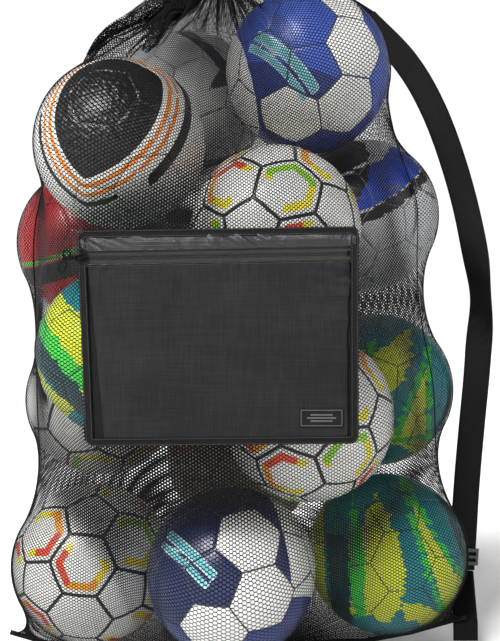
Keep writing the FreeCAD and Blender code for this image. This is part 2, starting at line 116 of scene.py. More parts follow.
def new_object(name, points, faces, material, smooth=True, body="root"):
    """A mesh piece from an array of points and a list or array of faces."""
    mesh = bpy.data.meshes.new(name)
    points = np.asarray(points, dtype=np.float32)
    if isinstance(faces, np.ndarray):
        fill_mesh(mesh, points, faces)
    else:
        mesh.from_pydata(points.tolist(), [], [list(f) for f in faces])
    mesh.polygons.foreach_set("use_smooth", [smooth] * len(mesh.polygons))
    mesh.validate()
    mesh.update()
    obj = bpy.data.objects.new(name, mesh)
    bpy.context.scene.collection.objects.link(obj)
    mesh.materials.append(material)
    if body:
        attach(obj, body)
    return obj


def fill_mesh(mesh, points, faces):
    """Fill a mesh from arrays of equal-sided faces, which is quick for large meshes."""
    count, sides = faces.shape
    mesh.vertices.add(len(points))
    mesh.vertices.foreach_set("co", points.ravel())
    mesh.loops.add(count * sides)
    mesh.loops.foreach_set("vertex_index", faces.astype(np.int32).ravel())
    mesh.polygons.add(count)
    mesh.polygons.foreach_set("loop_start", np.arange(0, count * sides, sides, dtype=np.int32))
    mesh.update(calc_edges=True)


def quads(rows, columns, ring=False, closed=False):
    """Faces between rows of points. A ring's last column joins its first, and closed rows join too."""
    across = np.arange(columns if ring else columns - 1)
    j, i = np.meshgrid(np.arange(rows if closed else rows - 1), across, indexing="ij")
    a, b = j * columns + i, j * columns + (i + 1) % columns
    over = rows * columns
    return np.stack([a, b, (b + columns) % over, (a + columns) % over], axis=-1).reshape(-1, 4)


def set_attribute(obj, name, values):
    """A float on each point, for a material to read."""
    data = obj.data.attributes.new(name, "FLOAT", "POINT")
    data.data.foreach_set("value", np.asarray(values, dtype=np.float32))


def run_along(line):
    """The distance along a line at each of its points."""
    return np.concatenate([[0], np.cumsum(np.linalg.norm(np.diff(line, axis=0), axis=1))])


def length_of(line):
    """The length of a line of points."""
    return float(np.linalg.norm(np.diff(line, axis=0), axis=1).sum())


def respace(line, count):
    """The same line with count evenly spaced points."""
    run = run_along(line)
    at = np.linspace(0, run[-1], count)
    return np.stack([np.interp(at, run, line[:, k]) for k in range(3)], axis=1)


def smooth_line(points, count):
    """A smooth line through a few points, evenly spaced."""
    p = np.asarray(points, dtype=float)
    p = np.vstack([2 * p[0] - p[1], p, 2 * p[-1] - p[-2]])
    steps = np.linspace(0, 1, 24, endpoint=False)
    fine = [cubic(p[k - 1:k + 3], t) for k in range(1, len(p) - 2) for t in steps]
    return respace(np.array(fine + [p[-2]]), count)


def edit_mesh(obj, change):
    """Load a piece's mesh into bmesh, change it there and write it back."""
    bm = bmesh.new()
    bm.from_mesh(obj.data)
    change(bm)
    bm.to_mesh(obj.data)
    bm.free()


def face_out(obj):
    """Turn a closed piece's faces outwards."""
    edit_mesh(obj, lambda bm: bmesh.ops.recalc_face_normals(bm, faces=bm.faces))


def weld(obj, distance):
    """Join the points that neighbouring strips share."""
    edit_mesh(obj, lambda bm: bmesh.ops.remove_doubles(bm, verts=bm.verts, dist=distance))


def ribbon(name, path, wide, width, thick, material, strands, body="root", crown=0.0):
    """A flat woven strip along a path: wide is the direction across it; sizes are in metres."""
    path = np.asarray(path, dtype=float)
    tangent = unit(np.gradient(path, axis=0))
    wide = np.broadcast_to(np.asarray(wide, dtype=float), path.shape)
    wide = unit(wide - tangent * (wide * tangent).sum(axis=1, keepdims=True))
    out = np.cross(wide, tangent)
    width = np.broadcast_to(width, (len(path),))
    s = np.linspace(-1, 1, strands + 1)
    s = np.concatenate([s, s[::-1]])
    side = np.repeat([1, -1], strands + 1)
    rise = crown * (1 - s * s) + side * thick / 2 * (1 - 0.75 * np.abs(s) ** 8)
    points = path[:, None] + wide[:, None] * (s[:, None] * width[:, None, None] / 2)
    points = points + out[:, None] * rise[:, None]
    ring = len(s)
    obj = loft(name, points, material, body)
    set_attribute(obj, "along", np.repeat(run_along(path) / MM, ring))
    set_attribute(obj, "across", (s[None] * width[:, None] / 2 / MM).ravel())
    return obj


def loft(name, rings, material, body="root", caps=True):
    """A closed skin over rings of points; without caps the last ring joins the first."""
    count, ring = rings.shape[:2]
    faces = quads(count, ring, ring=True, closed=not caps).tolist()
    if caps:
        faces.append(list(range(ring))[::-1])
        faces.append([(count - 1) * ring + k for k in range(ring)])
    obj = new_object(name, rings.reshape(-1, 3), faces, material, body=body)
    face_out(obj)
    return obj


def tube(name, path, radius, material, sides):
    """A round wire along a path."""
    path = np.asarray(path, dtype=float)
    tangent = unit(np.gradient(path, axis=0))
    first = unit(np.cross(tangent, (0.31, 0.87, 0.38)))
    second = np.cross(tangent, first)
    a = 2 * math.pi * np.arange(sides) / sides
    spoke = first[:, None] * np.cos(a)[:, None] + second[:, None] * np.sin(a)[:, None]
    radius = np.broadcast_to(radius, (len(path),))
    return loft(name, path[:, None] + spoke * radius[:, None, None], material)


def cloth(name, grid, material):
    """A sheet of cloth from a grid of points, with a front, a back and edges."""
    rows, columns = grid.shape[:2]
    around = np.gradient(grid, axis=1)
    along = np.gradient(grid, axis=0)
    normal = unit(np.cross(around, along))
    points = [(grid + side * normal * CLOTH / 2).reshape(-1, 3) for side in (1, -1)]
    half = rows * columns
    front = quads(rows, columns)
    faces = [front, front[:, ::-1] + half]
    rim = [*range(columns), *range(2 * columns - 1, half, columns)]
    rim += [*range(half - 2, half - columns - 1, -1), *range(half - 2 * columns, 0, -columns)]
    rim = np.array(rim)
    faces.append(np.stack([np.roll(rim, -1), rim, rim + half, np.roll(rim, -1) + half], axis=-1))
    obj = new_object(name, np.concatenate(points), np.concatenate(faces), material)
    u = np.cumsum(np.linalg.norm(np.diff(grid, axis=1, prepend=grid[:, :1]), axis=2), axis=1)
    v = np.cumsum(np.linalg.norm(np.diff(grid, axis=0, prepend=grid[:1]), axis=2), axis=0)
    set_attribute(obj, "along", np.tile(u.ravel() / MM, 2))
    set_attribute(obj, "across", np.tile(v.ravel() / MM, 2))
    return obj


STITCH_RADIUS = 0.32 * MM
STITCH_SIDES = 6
# Rings of one stitch: place along it as a share of its length, and share of its radius.
STITCH_RINGS = ((-0.5, 0.35), (-0.3, 1.0), (0.3, 1.0), (0.5, 0.35))


def stitches(name, path, out, pitch=3.1 * MM, length=2.2 * MM):
    """A row of separate thread stitches along a path, lying on a surface that faces out."""
    path = np.asarray(path, dtype=float)
    fine = respace(path, max(3, int(length_of(path) / pitch)))
    along = unit(np.gradient(fine, axis=0))
    out = unit(np.broadcast_to(np.asarray(out, dtype=float), fine.shape))
    side = np.cross(along, out)
    rings = []
    for t, r in STITCH_RINGS:
        centre = fine + along * (t * length) + out * (0.0003 - 0.0012 * t * t)
        for a in range(STITCH_SIDES):
            turn = 2 * math.pi * a / STITCH_SIDES
            rings.append(centre + (side * math.cos(turn) + out * math.sin(turn)) * STITCH_RADIUS * r)
    points = np.stack(rings, axis=1).reshape(-1, 3)
    one = quads(len(STITCH_RINGS), STITCH_SIDES, ring=True)
    faces = one + len(rings) * np.arange(len(fine))[:, None, None]
    new_object(name, points, faces.reshape(-1, 4), THREAD)


def unit(v):
    """Vectors scaled to length 1."""
    v = np.asarray(v, dtype=float)
    return v / np.maximum(np.linalg.norm(v, axis=-1, keepdims=True), 1e-12)


def smoothstep(a, b, x):
    """0 at a, 1 at b and a smooth rise between."""
    t = np.clip((x - a) / (b - a), 0, 1)
    return t * t * (3 - 2 * t)


# ---- materials -----------------------------------------------------------------------------------


class Nodes:
    """A short way to build one material's node tree."""

    def __init__(self, name):
        self.material = bpy.data.materials.new(name)
        self.material.use_nodes = True
        self.tree = self.material.node_tree
        self.tree.nodes.clear()
        out = self.add("ShaderNodeOutputMaterial")
        self.bsdf = self.add("ShaderNodeBsdfPrincipled")
        self.tree.links.new(self.bsdf.outputs[0], out.inputs[0])

    def add(self, kind, inputs=None, **settings):
        """A new node, with its settings and with what goes into its inputs."""
        node = self.tree.nodes.new(kind)
        for key, value in settings.items():
            setattr(node, key, value)
        for key, value in (inputs or {}).items():
            self.put(node.inputs[key], value)
        return node

    def put(self, socket, value):
        """Link a socket, or set its value."""
        if hasattr(value, "is_output"):
            self.tree.links.new(value, socket)
        elif isinstance(value, tuple) and len(value) == 3 and socket.type == "RGBA":
            socket.default_value = (*value, 1)
        else:
            socket.default_value = value

    def principled(self, **inputs):
        """Set inputs of the surface, with _ for the spaces in their names."""
        for key, value in inputs.items():
            self.put(self.bsdf.inputs[key.replace("_", " ")], value)

    def coords(self, stretch):
        """Object coordinates, with a scale for each axis."""
        place = self.add("ShaderNodeTexCoord").outputs["Object"]
        return self.add("ShaderNodeMapping", {0: place, "Scale": stretch}).outputs[0]

    def noise(self, scale, detail=3.0, rough=0.55, stretch=(1, 1, 1)):
        """Fractal noise."""
        inputs = {"Vector": self.coords(stretch), "Scale": scale, "Detail": detail, "Roughness": rough}
        return self.add("ShaderNodeTexNoise", inputs).outputs["Fac"]

    def voronoi(self, scale, stretch=(1, 1, 1)):
        """Distance to the middle of the nearest cell."""
        inputs = {"Vector": self.coords(stretch), "Scale": scale}
        return self.add("ShaderNodeTexVoronoi", inputs).outputs["Distance"]

    def attribute(self, name):
        """A float that the mesh holds at each point."""
        return self.add("ShaderNodeAttribute", attribute_name=name).outputs["Fac"]

    def math(self, operation, a, b=0.0, c=0.0):
        """One sum over sockets and numbers."""
        return self.add("ShaderNodeMath", {0: a, 1: b, 2: c}, operation=operation).outputs[0]

    def ramp(self, value, low, high, to_low=0.0, to_high=1.0):
        """A smooth step between two values."""
        inputs = {0: value, 1: low, 2: high, 3: to_low, 4: to_high}
        return self.add("ShaderNodeMapRange", inputs, interpolation_type="SMOOTHSTEP").outputs[0]

    def mix(self, factor, a, b, blend="MIX"):
        """Two colours mixed or multiplied."""
        inputs = {"Factor": factor, 6: a, 7: b}
        return self.add("ShaderNodeMix", inputs, data_type="RGBA", blend_type=blend).outputs[2]

    def bump(self, height, strength, distance):
        """A normal from a height, with the height's size in metres."""
        inputs = {"Height": height, "Strength": strength, "Distance": distance}
        return self.add("ShaderNodeBump", inputs).outputs[0]


def net_material():
    """Knitted polyester thread: near black, dull, with a little fuzz."""
    n = Nodes("net")
    tone = n.noise(38.0, 4.0)
    fibre = n.noise(2600.0, 2.0)
    colour = n.mix(tone, (0.0012, 0.0013, 0.0016), (0.004, 0.0042, 0.005))
    colour = n.mix(n.ramp(fibre, 0.6, 0.85, 0.0, 0.2), colour, (0.016, 0.0165, 0.018))
    roughness = n.ramp(tone, 0.2, 0.8, 0.42, 0.6)
    n.principled(Base_Color=colour, Roughness=roughness, Specular_IOR_Level=0.07)
    n.principled(Normal=n.bump(fibre, 0.5, 0.0004))
    return n.material


def woven_material(name, dark, light, rib=1.7, across=1.1, half_width=19.0, rough=0.5, depth=0.5, border=2.6,
                   shine=0.22):
    """Ribbed webbing or tape: ribs across it, a fine weave and two edge cords. Sizes are in mm."""
    n = Nodes(name)
    along = n.attribute("along")
    side = n.attribute("across")
    ribs = n.math("SINE", n.math("MULTIPLY", along, 2 * math.pi / rib))
    warp = n.math("SINE", n.math("ADD", n.math("MULTIPLY", side, 2 * math.pi / across),
                                 n.math("MULTIPLY", along, math.pi / rib)))
    weave = n.math("ADD", n.math("MULTIPLY", ribs, 0.6), n.math("MULTIPLY", warp, 0.4))
    edge = n.math("ABSOLUTE", side)
    cord = n.ramp(edge, half_width - border, half_width - border + 0.5, 0.0, 1.0)
    past = n.ramp(edge, half_width - border + 0.5, half_width - border + 1.0, 1.0, 0.0)
    line = n.math("MULTIPLY", cord, past)
    wear = n.noise(26.0, 5.0, 0.6)
    fuzz = n.noise(1900.0, 2.0)
    tone = n.math("MULTIPLY_ADD", weave, 0.25, n.math("MULTIPLY", wear, 0.9))
    colour = n.mix(n.ramp(tone, 0.1, 0.95), dark, light)
    colour = n.mix(n.math("MULTIPLY", line, 0.6), colour, tuple(c * 0.3 for c in dark))
    colour = n.mix(n.ramp(fuzz, 0.62, 0.8, 0.0, 0.25), colour, tuple(min(1, c * 3) for c in light))
    height = n.math("ADD", n.math("MULTIPLY", weave, 0.5), n.math("MULTIPLY", cord, 0.6))
    normal = n.bump(n.math("ADD", height, n.math("MULTIPLY", fuzz, 0.4)), depth, 0.0005)
    n.principled(Base_Color=colour, Roughness=n.ramp(wear, 0.2, 0.8, rough - 0.08, rough + 0.12))
    n.principled(Normal=normal, Specular_IOR_Level=shine)
    return n.material


def ripstop_material(name, rough, shine, dark, light, streaks=0.0, crease_scale=55.0, crease_detail=4.0):
    """Coated nylon with a fine weave and a thicker thread every few millimetres."""
    n = Nodes(name)
    along, side = n.attribute("along"), n.attribute("across")
    fine_a = n.math("SINE", n.math("MULTIPLY", along, 2 * math.pi / 0.95))
    fine_b = n.math("SINE", n.math("MULTIPLY", side, 2 * math.pi / 0.95))
    weave = n.math("MULTIPLY", fine_a, fine_b)
    grid = None
    for axis in (along, side):
        wave = n.math("PINGPONG", axis, 2.4)
        thread = n.ramp(wave, 0.0, 0.35, 1.0, 0.0)
        grid = thread if grid is None else n.math("MAXIMUM", grid, thread)
    cloud = n.noise(9.0, 5.0, 0.6)
    crease = n.noise(crease_scale, crease_detail, 0.6, stretch=(1.0, 1.0, 0.6))
    streak = n.math("SUBTRACT", n.noise(420.0, 3.0, 0.7, stretch=(1.0, 1.0, 0.05)), 0.5)
    cross = n.math("SUBTRACT", n.noise(400.0, 3.0, 0.7, stretch=(0.04, 1.0, 1.0)), 0.5)
    tone = n.math("ADD", n.math("MULTIPLY", cloud, 0.8), n.math("MULTIPLY", grid, 0.16))
    tone = n.math("MULTIPLY_ADD", weave, 0.12, tone)
    tone = n.math("MULTIPLY_ADD", streak, streaks, n.math("MULTIPLY_ADD", cross, streaks * 0.7, tone))
    colour = n.mix(n.ramp(tone, 0.15, 0.9), dark, light)
    warm = n.ramp(n.noise(5.0, 2.0), 0.42, 0.62, 0.0, 0.5)
    colour = n.mix(warm, colour, (1.0, 0.93, 0.86), "MULTIPLY")
    height = n.math("ADD", n.math("MULTIPLY", weave, 0.25), n.math("MULTIPLY", grid, 0.5))
    height = n.math("ADD", height, n.math("MULTIPLY", crease, 1.6))
    height = n.math("MULTIPLY_ADD", streak, streaks * 1.5, height)
    n.principled(Base_Color=colour, Roughness=n.ramp(crease, 0.3, 0.75, rough - 0.06, rough + 0.14))
    n.principled(Specular_IOR_Level=shine, Normal=n.bump(height, 0.45, 0.0006))
    return n.material


def thread_material():
    """Sewing thread, with its twist."""
    n = Nodes("thread")
    twist = n.noise(3000.0, 1.0, stretch=(1, 1, 0.4))
    n.principled(Base_Color=n.mix(twist, (0.018, 0.018, 0.019), (0.05, 0.05, 0.052)), Roughness=0.45)
    n.principled(Normal=n.bump(twist, 0.4, 0.0003))
    return n.material


def metal_material(name, colour, rough):
    """Plated metal with fine casting texture and rubbed edges."""
    n = Nodes(name)
    cast = n.noise(700.0, 4.0, 0.6)
    rub = n.noise(120.0, 5.0, 0.65)
    shade = n.mix(n.ramp(rub, 0.4, 0.7, 0.0, 0.6), colour, tuple(min(1.0, c * 1.7 + 0.01) for c in colour))
    n.principled(Base_Color=shade, Metallic=1.0, Roughness=n.ramp(rub, 0.25, 0.8, rough - 0.06, rough + 0.14))
    n.principled(Normal=n.bump(cast, 0.12, 0.0003), Coat_Roughness=0.12)
    return n.material


def plastic_material(name, colour, rough):
    """Moulded plastic: an even spark texture, faint scratches and a slight sheen."""
    n = Nodes(name)
    spark = n.voronoi(2400.0)
    scratch = n.noise(60.0, 6.0, 0.7, stretch=(1.0, 1.0, 9.0))
    shade = n.mix(n.ramp(scratch, 0.5, 0.75, 0.0, 0.5), colour, tuple(c * 2.2 + 0.004 for c in colour))
    height = n.math("ADD", n.math("MULTIPLY", spark, 0.6), n.math("MULTIPLY", scratch, 0.5))
    n.principled(Base_Color=shade, Roughness=n.ramp(scratch, 0.3, 0.75, rough - 0.07, rough + 0.1))
    n.principled(Normal=n.bump(height, 0.25, 0.0003))
    return n.material


def cord_material():
    """Braided cord, by small cells stretched along it."""
    n = Nodes("cord")
    braid = n.voronoi(900.0, stretch=(1, 1, 0.5))
    n.principled(Base_Color=n.mix(braid, (0.03, 0.03, 0.032), (0.008, 0.008, 0.009)), Roughness=0.6)
    n.principled(Normal=n.bump(braid, 0.6, 0.0006))
    return n.material


def rubber_material(name, colour):
    """Dull rubber with a patchy bloom and a fine grain."""
    n = Nodes(name)
    bloom = n.noise(70.0, 5.0, 0.6)
    n.principled(Base_Color=n.mix(bloom, colour, tuple(c * 1.8 + 0.006 for c in colour)), Roughness=0.62)
    n.principled(Normal=n.bump(n.noise(900.0, 3.0), 0.2, 0.0003), Specular_IOR_Level=0.12)
    return n.material


# ---- balls ---------------------------------------------------------------------------------------
GOLDEN = (1 + math.sqrt(5)) / 2
# Rings of points from a panel's edge to its middle, and steps along each edge.
SEAM_RINGS = (1.0, 0.982, 0.962, 0.94, 0.9, 0.82, 0.72, 0.6, 0.46, 0.3, 0.15, 0.0)
EDGE_STEPS = 10


def football_panels():
    """The 12 pentagons and 20 hexagons of a stitched ball, as rings of unit vectors."""
    corners = []
    for a in (-1, 1):
        for b in (-GOLDEN, GOLDEN):
            corners += [(0, a, b), (a, b, 0), (b, 0, a)]
    corners = unit(corners)
    count = len(corners)
    near = [[j for j in range(count) if j != i and corners[i] @ corners[j] > 0.4] for i in range(count)]
    panels = []
    for i in range(count):
        ring = [corners[i] * 2 / 3 + corners[j] / 3 for j in near[i]]
        panels.append(sort_ring(ring, corners[i]))
    for i in range(count):
        for j in near[i]:
            for k in near[i]:
                if i < j < k and k in near[j]:
                    pairs = ((i, j), (j, i), (j, k), (k, j), (k, i), (i, k))
                    ring = [corners[a] * 2 / 3 + corners[b] / 3 for a, b in pairs]
                    panels.append(sort_ring(ring, corners[i] + corners[j] + corners[k]))
    return panels


def sort_ring(ring, axis):
    """Put a panel's corners in order about its axis."""
    ring = unit(ring)
    axis = unit(axis)
    side = unit(ring[0] - axis * (ring[0] @ axis))
    other = np.cross(axis, side)
    return ring[np.argsort(np.arctan2(ring @ other, ring @ side))]


def ball_template():
    """What all balls share: directions, faces, seam distances (mm), panels and turns round each panel."""
    points, faces, seam, panel, turn = [], [], [], [], []
    for number, ring in enumerate(football_panels()):
        centre = unit(ring.sum(axis=0))
        for k in range(len(ring)):
            p0, p1 = ring[k], ring[(k + 1) % len(ring)]
            inward = unit(np.cross(p0, p1))
            inward = inward * np.sign(inward @ centre)
            base = len(points)
            for t in SEAM_RINGS:
                for m in range(EDGE_STEPS + 1):
                    s = m / EDGE_STEPS
                    p = unit(centre * (1 - t) + (p0 * (1 - s) + p1 * s) * t)
                    points.append(p)
                    seam.append(max(0.0, math.asin(float(p @ inward))) * BALL_R / MM)
                    panel.append(number)
                    turn.append((k + s) / len(ring))
            flip = -1 if np.cross(p0, p1) @ centre < 0 else 1
            faces.append(base + quads(len(SEAM_RINGS), EDGE_STEPS + 1)[:, ::flip])
    return np.array(points), np.concatenate(faces), np.array(seam), np.array(panel), np.array(turn)


def turn_to(aim, roll):
    """A rotation that brings the template's first hexagon to face aim, rolled about it."""
    ring = football_panels()[12]
    start = unit(ring.sum(axis=0))
    aim = unit(aim)
    turn = Vector(start).rotation_difference(Vector(aim)).to_matrix()
    spin = np.array(Vector((0, 0, 1)).rotation_difference(Vector(aim)).to_matrix())
    c, s = math.cos(roll), math.sin(roll)
    about = spin @ np.array([[c, -s, 0], [s, c, 0], [0, 0, 1]]) @ spin.T
    return about @ np.array(turn)


def angle_to(points, direction):
    """Angle in degrees from each point to a direction."""
    return np.degrees(np.arccos(np.clip(points @ unit(direction), -1, 1)))


def cap(points, direction, size):
    """Degrees inside a round cap whose edge is size degrees from direction."""
    return size - angle_to(points, direction)


def belt(points, normal, offset, half):
    """Degrees inside a straight band of half degrees each way, offset degrees from the equator of normal."""
    return half - np.abs(np.degrees(np.arcsin(np.clip(points @ unit(normal), -1, 1))) - offset)


def both(*fields):
    """Where all the fields are positive."""
    return np.minimum.reduce(fields)


def either(*fields):
    """Where any of the fields is positive."""
    return np.maximum.reduce(fields)


def ball_material(name, base, layers, seam, pebble=None, jag=0.0):
    """Glossy coated leather: a base colour, painted layers with crisp edges, and seams."""
    n = Nodes(name)
    grain = n.voronoi(620.0)
    dirt = n.noise(16.0, 5.0, 0.6)
    colour = n.mix(n.ramp(dirt, 0.45, 0.8, 0.0, 0.3), base, tuple(c * 0.72 for c in base))
    for k, paint in enumerate(layers):
        field = n.attribute("paint_%d" % k)
        if jag:
            streak = n.noise(90.0, 2.0, 0.5, stretch=(0.25, 1.0, 1.6))
            field = n.math("ADD", field, n.math("MULTIPLY", n.math("SUBTRACT", streak, 0.5), jag))
        colour = n.mix(n.ramp(field, -0.25, 0.25), colour, paint)
    seam_colour, seam_width = seam
    line = n.ramp(n.attribute("seam"), seam_width - 0.35, seam_width + 0.35, 1.0, 0.0)
    colour = n.mix(line, colour, seam_colour)
    height = n.math("ADD", n.math("MULTIPLY", grain, 0.35), n.math("MULTIPLY", n.noise(240.0), 0.5))
    if pebble is not None:
        bumps = n.voronoi(150.0)
        mask = n.ramp(n.attribute("paint_%d" % pebble), 0.0, 1.0)
        height = n.math("ADD", height, n.math("MULTIPLY", n.math("MULTIPLY", bumps, mask), 9.0))
    normal = n.bump(height, 0.35, 0.0006)
    roughness = n.ramp(dirt, 0.3, 0.8, 0.30, 0.50)
    n.principled(Base_Color=colour, Roughness=roughness, Normal=normal, Coat_Weight=0.25, Coat_Roughness=0.2)
    return n.material


WHITE = (0.86, 0.855, 0.82)
BLACK = (0.012, 0.012, 0.014)
PANEL_REACH = 20.0


def half(points, normal, offset=0.0):
    """Degrees inside the half of the ball that faces normal, less offset."""
    return np.degrees(np.arcsin(np.clip(points @ unit(normal), -1, 1))) - offset


def on_panels(p, panel, aims):
    """Positive over each whole panel whose middle lies within PANEL_REACH degrees of one of the aims."""
    total = np.zeros((panel.max() + 1, 3))
    np.add.at(total, panel, p)
    middles = unit(total)[panel]
    return either(*[cap(middles, aim, PANEL_REACH) for aim in aims])


def paint_hex(p, seam, panel, turn, shift):
    """Bright bands that follow some sides of the hexagons, in yellow, orange-red and green."""
    chosen = (panel >= 12) & ((panel * 7 + shift) % 5 != 0)
    band = np.where(chosen, 5.0 - np.abs(seam - 12.5), -9.0)
    angle = (turn * 6 + panel * 2 + shift) % 6.0
    warm = (panel + shift) % 3 != 0
    yellow = both(band, (2.2 - np.abs(angle - 2.2)) * 20)
    amber = both(band, np.where(warm, (1.45 - np.abs(angle - 1.9)) * 20, -9))
    red = both(band, np.where(warm, (0.8 - np.abs(angle - 1.2)) * 20, -9))
    green = both(band, np.where(warm, -9, (1.2 - np.abs(angle - 3.0)) * 20))
    return [yellow, amber, red, green]


def two_stripes(p, patch, *stripes):
    """Parallel stripes on a round patch: their edges and the stripes.

    Each is given as an offset, the half width of its edge and its own half width, in degrees."""
    way = (0.72, 0.30, 0.64)
    edge = either(*[belt(p, way, offset, wide) for offset, wide, _ in stripes])
    inner = either(*[belt(p, way, offset, thin) for offset, _, thin in stripes])
    return both(edge, patch + 1.2), both(inner, patch)


def paint_blue(p, seam, panel, turn, shift):
    """Blue panels with a few white ones at the sides, and two plain pale stripes across the middle one."""
    white = on_panels(p, panel, ((0.53, -0.82, 0.22), (0.49, -0.68, -0.55), (-0.33, -0.67, -0.66)))
    top = both(on_panels(p, panel, ((0.38, -0.69, 0.62),)), half(p, (0.75, -0.2, 0.6), 40))
    left = both(half(p, (-1, -0.1, -0.25), 52), half(p, (-0.6, 0, 1), -30))
    blue = -either(white, top, left, half(p, (0.3, 1, 0.2), 8))
    deep = both(half(p, (-0.25, -0.2, -0.9), 22), blue)
    return [blue, deep, *two_stripes(p, cap(p, (-0.31, -0.94, -0.06), 29), (-30, 3.7, 2.6), (-39, 2.7, 1.7))]


def paint_navy(p, seam, panel, turn, shift):
    """Navy panels with white ones to the right and below, and two plain teal stripes."""
    white = on_panels(p, panel, ((0.25, -0.79, 0.56), (0.35, -0.92, -0.17), (-0.15, -0.83, -0.53)))
    far = both(half(p, (1, 0.25, 0.1), 30), -half(p, (0.3, -0.4, -1), 34))
    navy = -either(white, far, half(p, (0.2, 1, 0.1), 12))
    deep = both(navy, half(p, (-0.3, -0.5, 0.5), 20))
    return [navy, deep, *two_stripes(p, cap(p, (-0.50, -0.79, 0.34), 24), (-18, 3.2, 2.2), (-26, 2.4, 1.5))]


def paint_stripes(p, seam, panel, turn, shift):
    """A broad blue band with a black curved edge below it, over white."""
    axis = unit((-0.42, -0.30, 0.86))
    blue = both(belt(p, axis, 31, 14), half(p, (0.9, -0.6, 0.1), -12))
    black = either(belt(p, axis, 13, 4.2), both(half(p, (-0.8, -0.5, 0.45), 38), half(p, axis, 12)))
    line = belt(p, (0.3, -0.4, -0.86), 14, 0.9)
    return [blue, black, line, belt(p, axis, 49, 1.2)]


def paint_black(p, seam, panel, turn, shift):
    """A large black textured shield with a double orange border and a black flash beyond it."""
    right_edge = cap(p, (-0.44, -0.76, 0.48), 60)
    left_edge = cap(p, (0.34, -0.91, 0.25), 60)
    top_edge = cap(p, (-0.20, -0.98, 0.04), 63)
    shield = both(right_edge, left_edge, top_edge)
    first = both(shield + 6.6, -(shield + 3.4))
    second = both(shield + 13.0, -(shield + 10.2))
    flash = both(shield + 26.0, -(shield + 18.5), half(p, (1, 0, 0.1), 20))
    hook = both(shield + 21.0, -(shield + 17.0), half(p, (-0.75, -0.3, -0.6), 36))
    other = cap(p, (0.3, 0.9, -0.3), 40)
    return [either(shield, other), either(first, second, both(other + 6, -other - 4)), either(flash, hook)]


def paint_red(p, seam, panel, turn, shift):
    """A green line over a broad black stripe, on red."""
    axis = (-0.38, -0.25, 0.89)
    return [belt(p, axis, -1, 7), belt(p, axis, 9, 1.8)]


def paint_teal(p, seam, panel, turn, shift):
    """Yellow-green leaves with bright green edges over teal, and deep teal shadows."""
    tilt = (0.0, 0.75, -0.65)[shift]
    n1 = unit((math.cos(tilt), -0.12, math.sin(tilt) + 0.06))
    bow = 26.0 * p[:, 2] ** 2
    leaf = both(belt(p, n1, -4, 17) - bow, half(p, (0.1, 0, 1), -46))
    wedge = both(half(p, n1 + (0, 0, 0.25), 30), -half(p, n1 + (0, 0, 0.55), 42), half(p, (0, 0, 1), -34))
    foot = both(belt(p, (0.1, 0.4, 1), -52, 7), -belt(p, n1, 6, 4))
    left = both(belt(p, n1, -58, 10), half(p, (0, -0.2, 1), -30))
    lime = either(leaf, wedge, foot, left)
    vein = both(belt(p, n1, -21, 2.6) - 0.4 * bow + 4, half(p, (0, 0, 1), -40))
    bright = either(vein, both(wedge + 4.5, -wedge))
    dark = either(belt(p, n1 + (0, 0.2, 0.3), 60, 7), both(belt(p, n1, -36, 9), half(p, (0, 0, -1), -20)))
    return [lime, bright, dark]


def paint_grey(p, seam, panel, turn, shift):
    """Broad angular strokes on a pale ball."""
    patch = both(half(p, (0.9, -0.5, -0.25), 44), -half(p, (0.5, -0.3, -0.9), 22))
    front_stroke = both(belt(p, (0.8, 0.3, 0.6), 22, 5), half(p, (0.2, -1, 0), 0))
    back_stroke = belt(p, (0.1, 0.5, -0.9), 30, 4)
    return [either(patch, front_stroke, back_stroke), belt(p, (0.5, 0.2, 0.8), 38, 1.3)]


YELLOW_GREEN = (0.66, 0.74, 0.035)
# Look: base colour, painted colours, seam colour and width in mm, painter, and extras for the material.
BALL_LOOKS = {
    "white": (WHITE, [(0.90, 0.78, 0.04), (0.92, 0.38, 0.03), (0.80, 0.08, 0.03), (0.30, 0.66, 0.04)],
              (BLACK, 2.3), paint_hex, {}),
    "blue": (WHITE, [(0.055, 0.115, 0.50), (0.025, 0.045, 0.22), (0.45, 0.62, 0.66), (0.17, 0.52, 0.56)],
             ((0.04, 0.05, 0.12), 1.1), paint_blue, {}),
    "navy": (WHITE, [(0.018, 0.040, 0.20), (0.011, 0.020, 0.09), (0.42, 0.62, 0.66), (0.12, 0.46, 0.52)],
             ((0.04, 0.045, 0.08), 1.1), paint_navy, {}),
    "stripes": ((0.66, 0.68, 0.70), [(0.03, 0.09, 0.60), BLACK, (0.12, 0.13, 0.15), WHITE],
                ((0.20, 0.21, 0.23), 0.7), paint_stripes, {"jag": 9.0}),
    "black": (WHITE, [(0.006, 0.006, 0.007), (0.92, 0.27, 0.02), BLACK],
              ((0.03, 0.03, 0.031), 0.4), paint_black, {"pebble": 0}),
    "red": ((0.50, 0.018, 0.022), [BLACK, (0.10, 0.50, 0.06)], ((0.16, 0.01, 0.01), 0.8), paint_red, {}),
    "teal": ((0.010, 0.235, 0.27), [YELLOW_GREEN, (0.05, 0.62, 0.06), (0.01, 0.05, 0.06)],
             ((0.01, 0.06, 0.07), 0.7), paint_teal, {"jag": 13.0}),
    "silver": ((0.66, 0.67, 0.67), [(0.05, 0.055, 0.065), (0.30, 0.33, 0.36)],
               ((0.16, 0.16, 0.17), 0.9), paint_grey, {}),
    "cream": ((0.60, 0.46, 0.30), [(0.13, 0.07, 0.04), (0.80, 0.74, 0.62)],
              ((0.10, 0.07, 0.05), 1.2), paint_grey, {}),
}
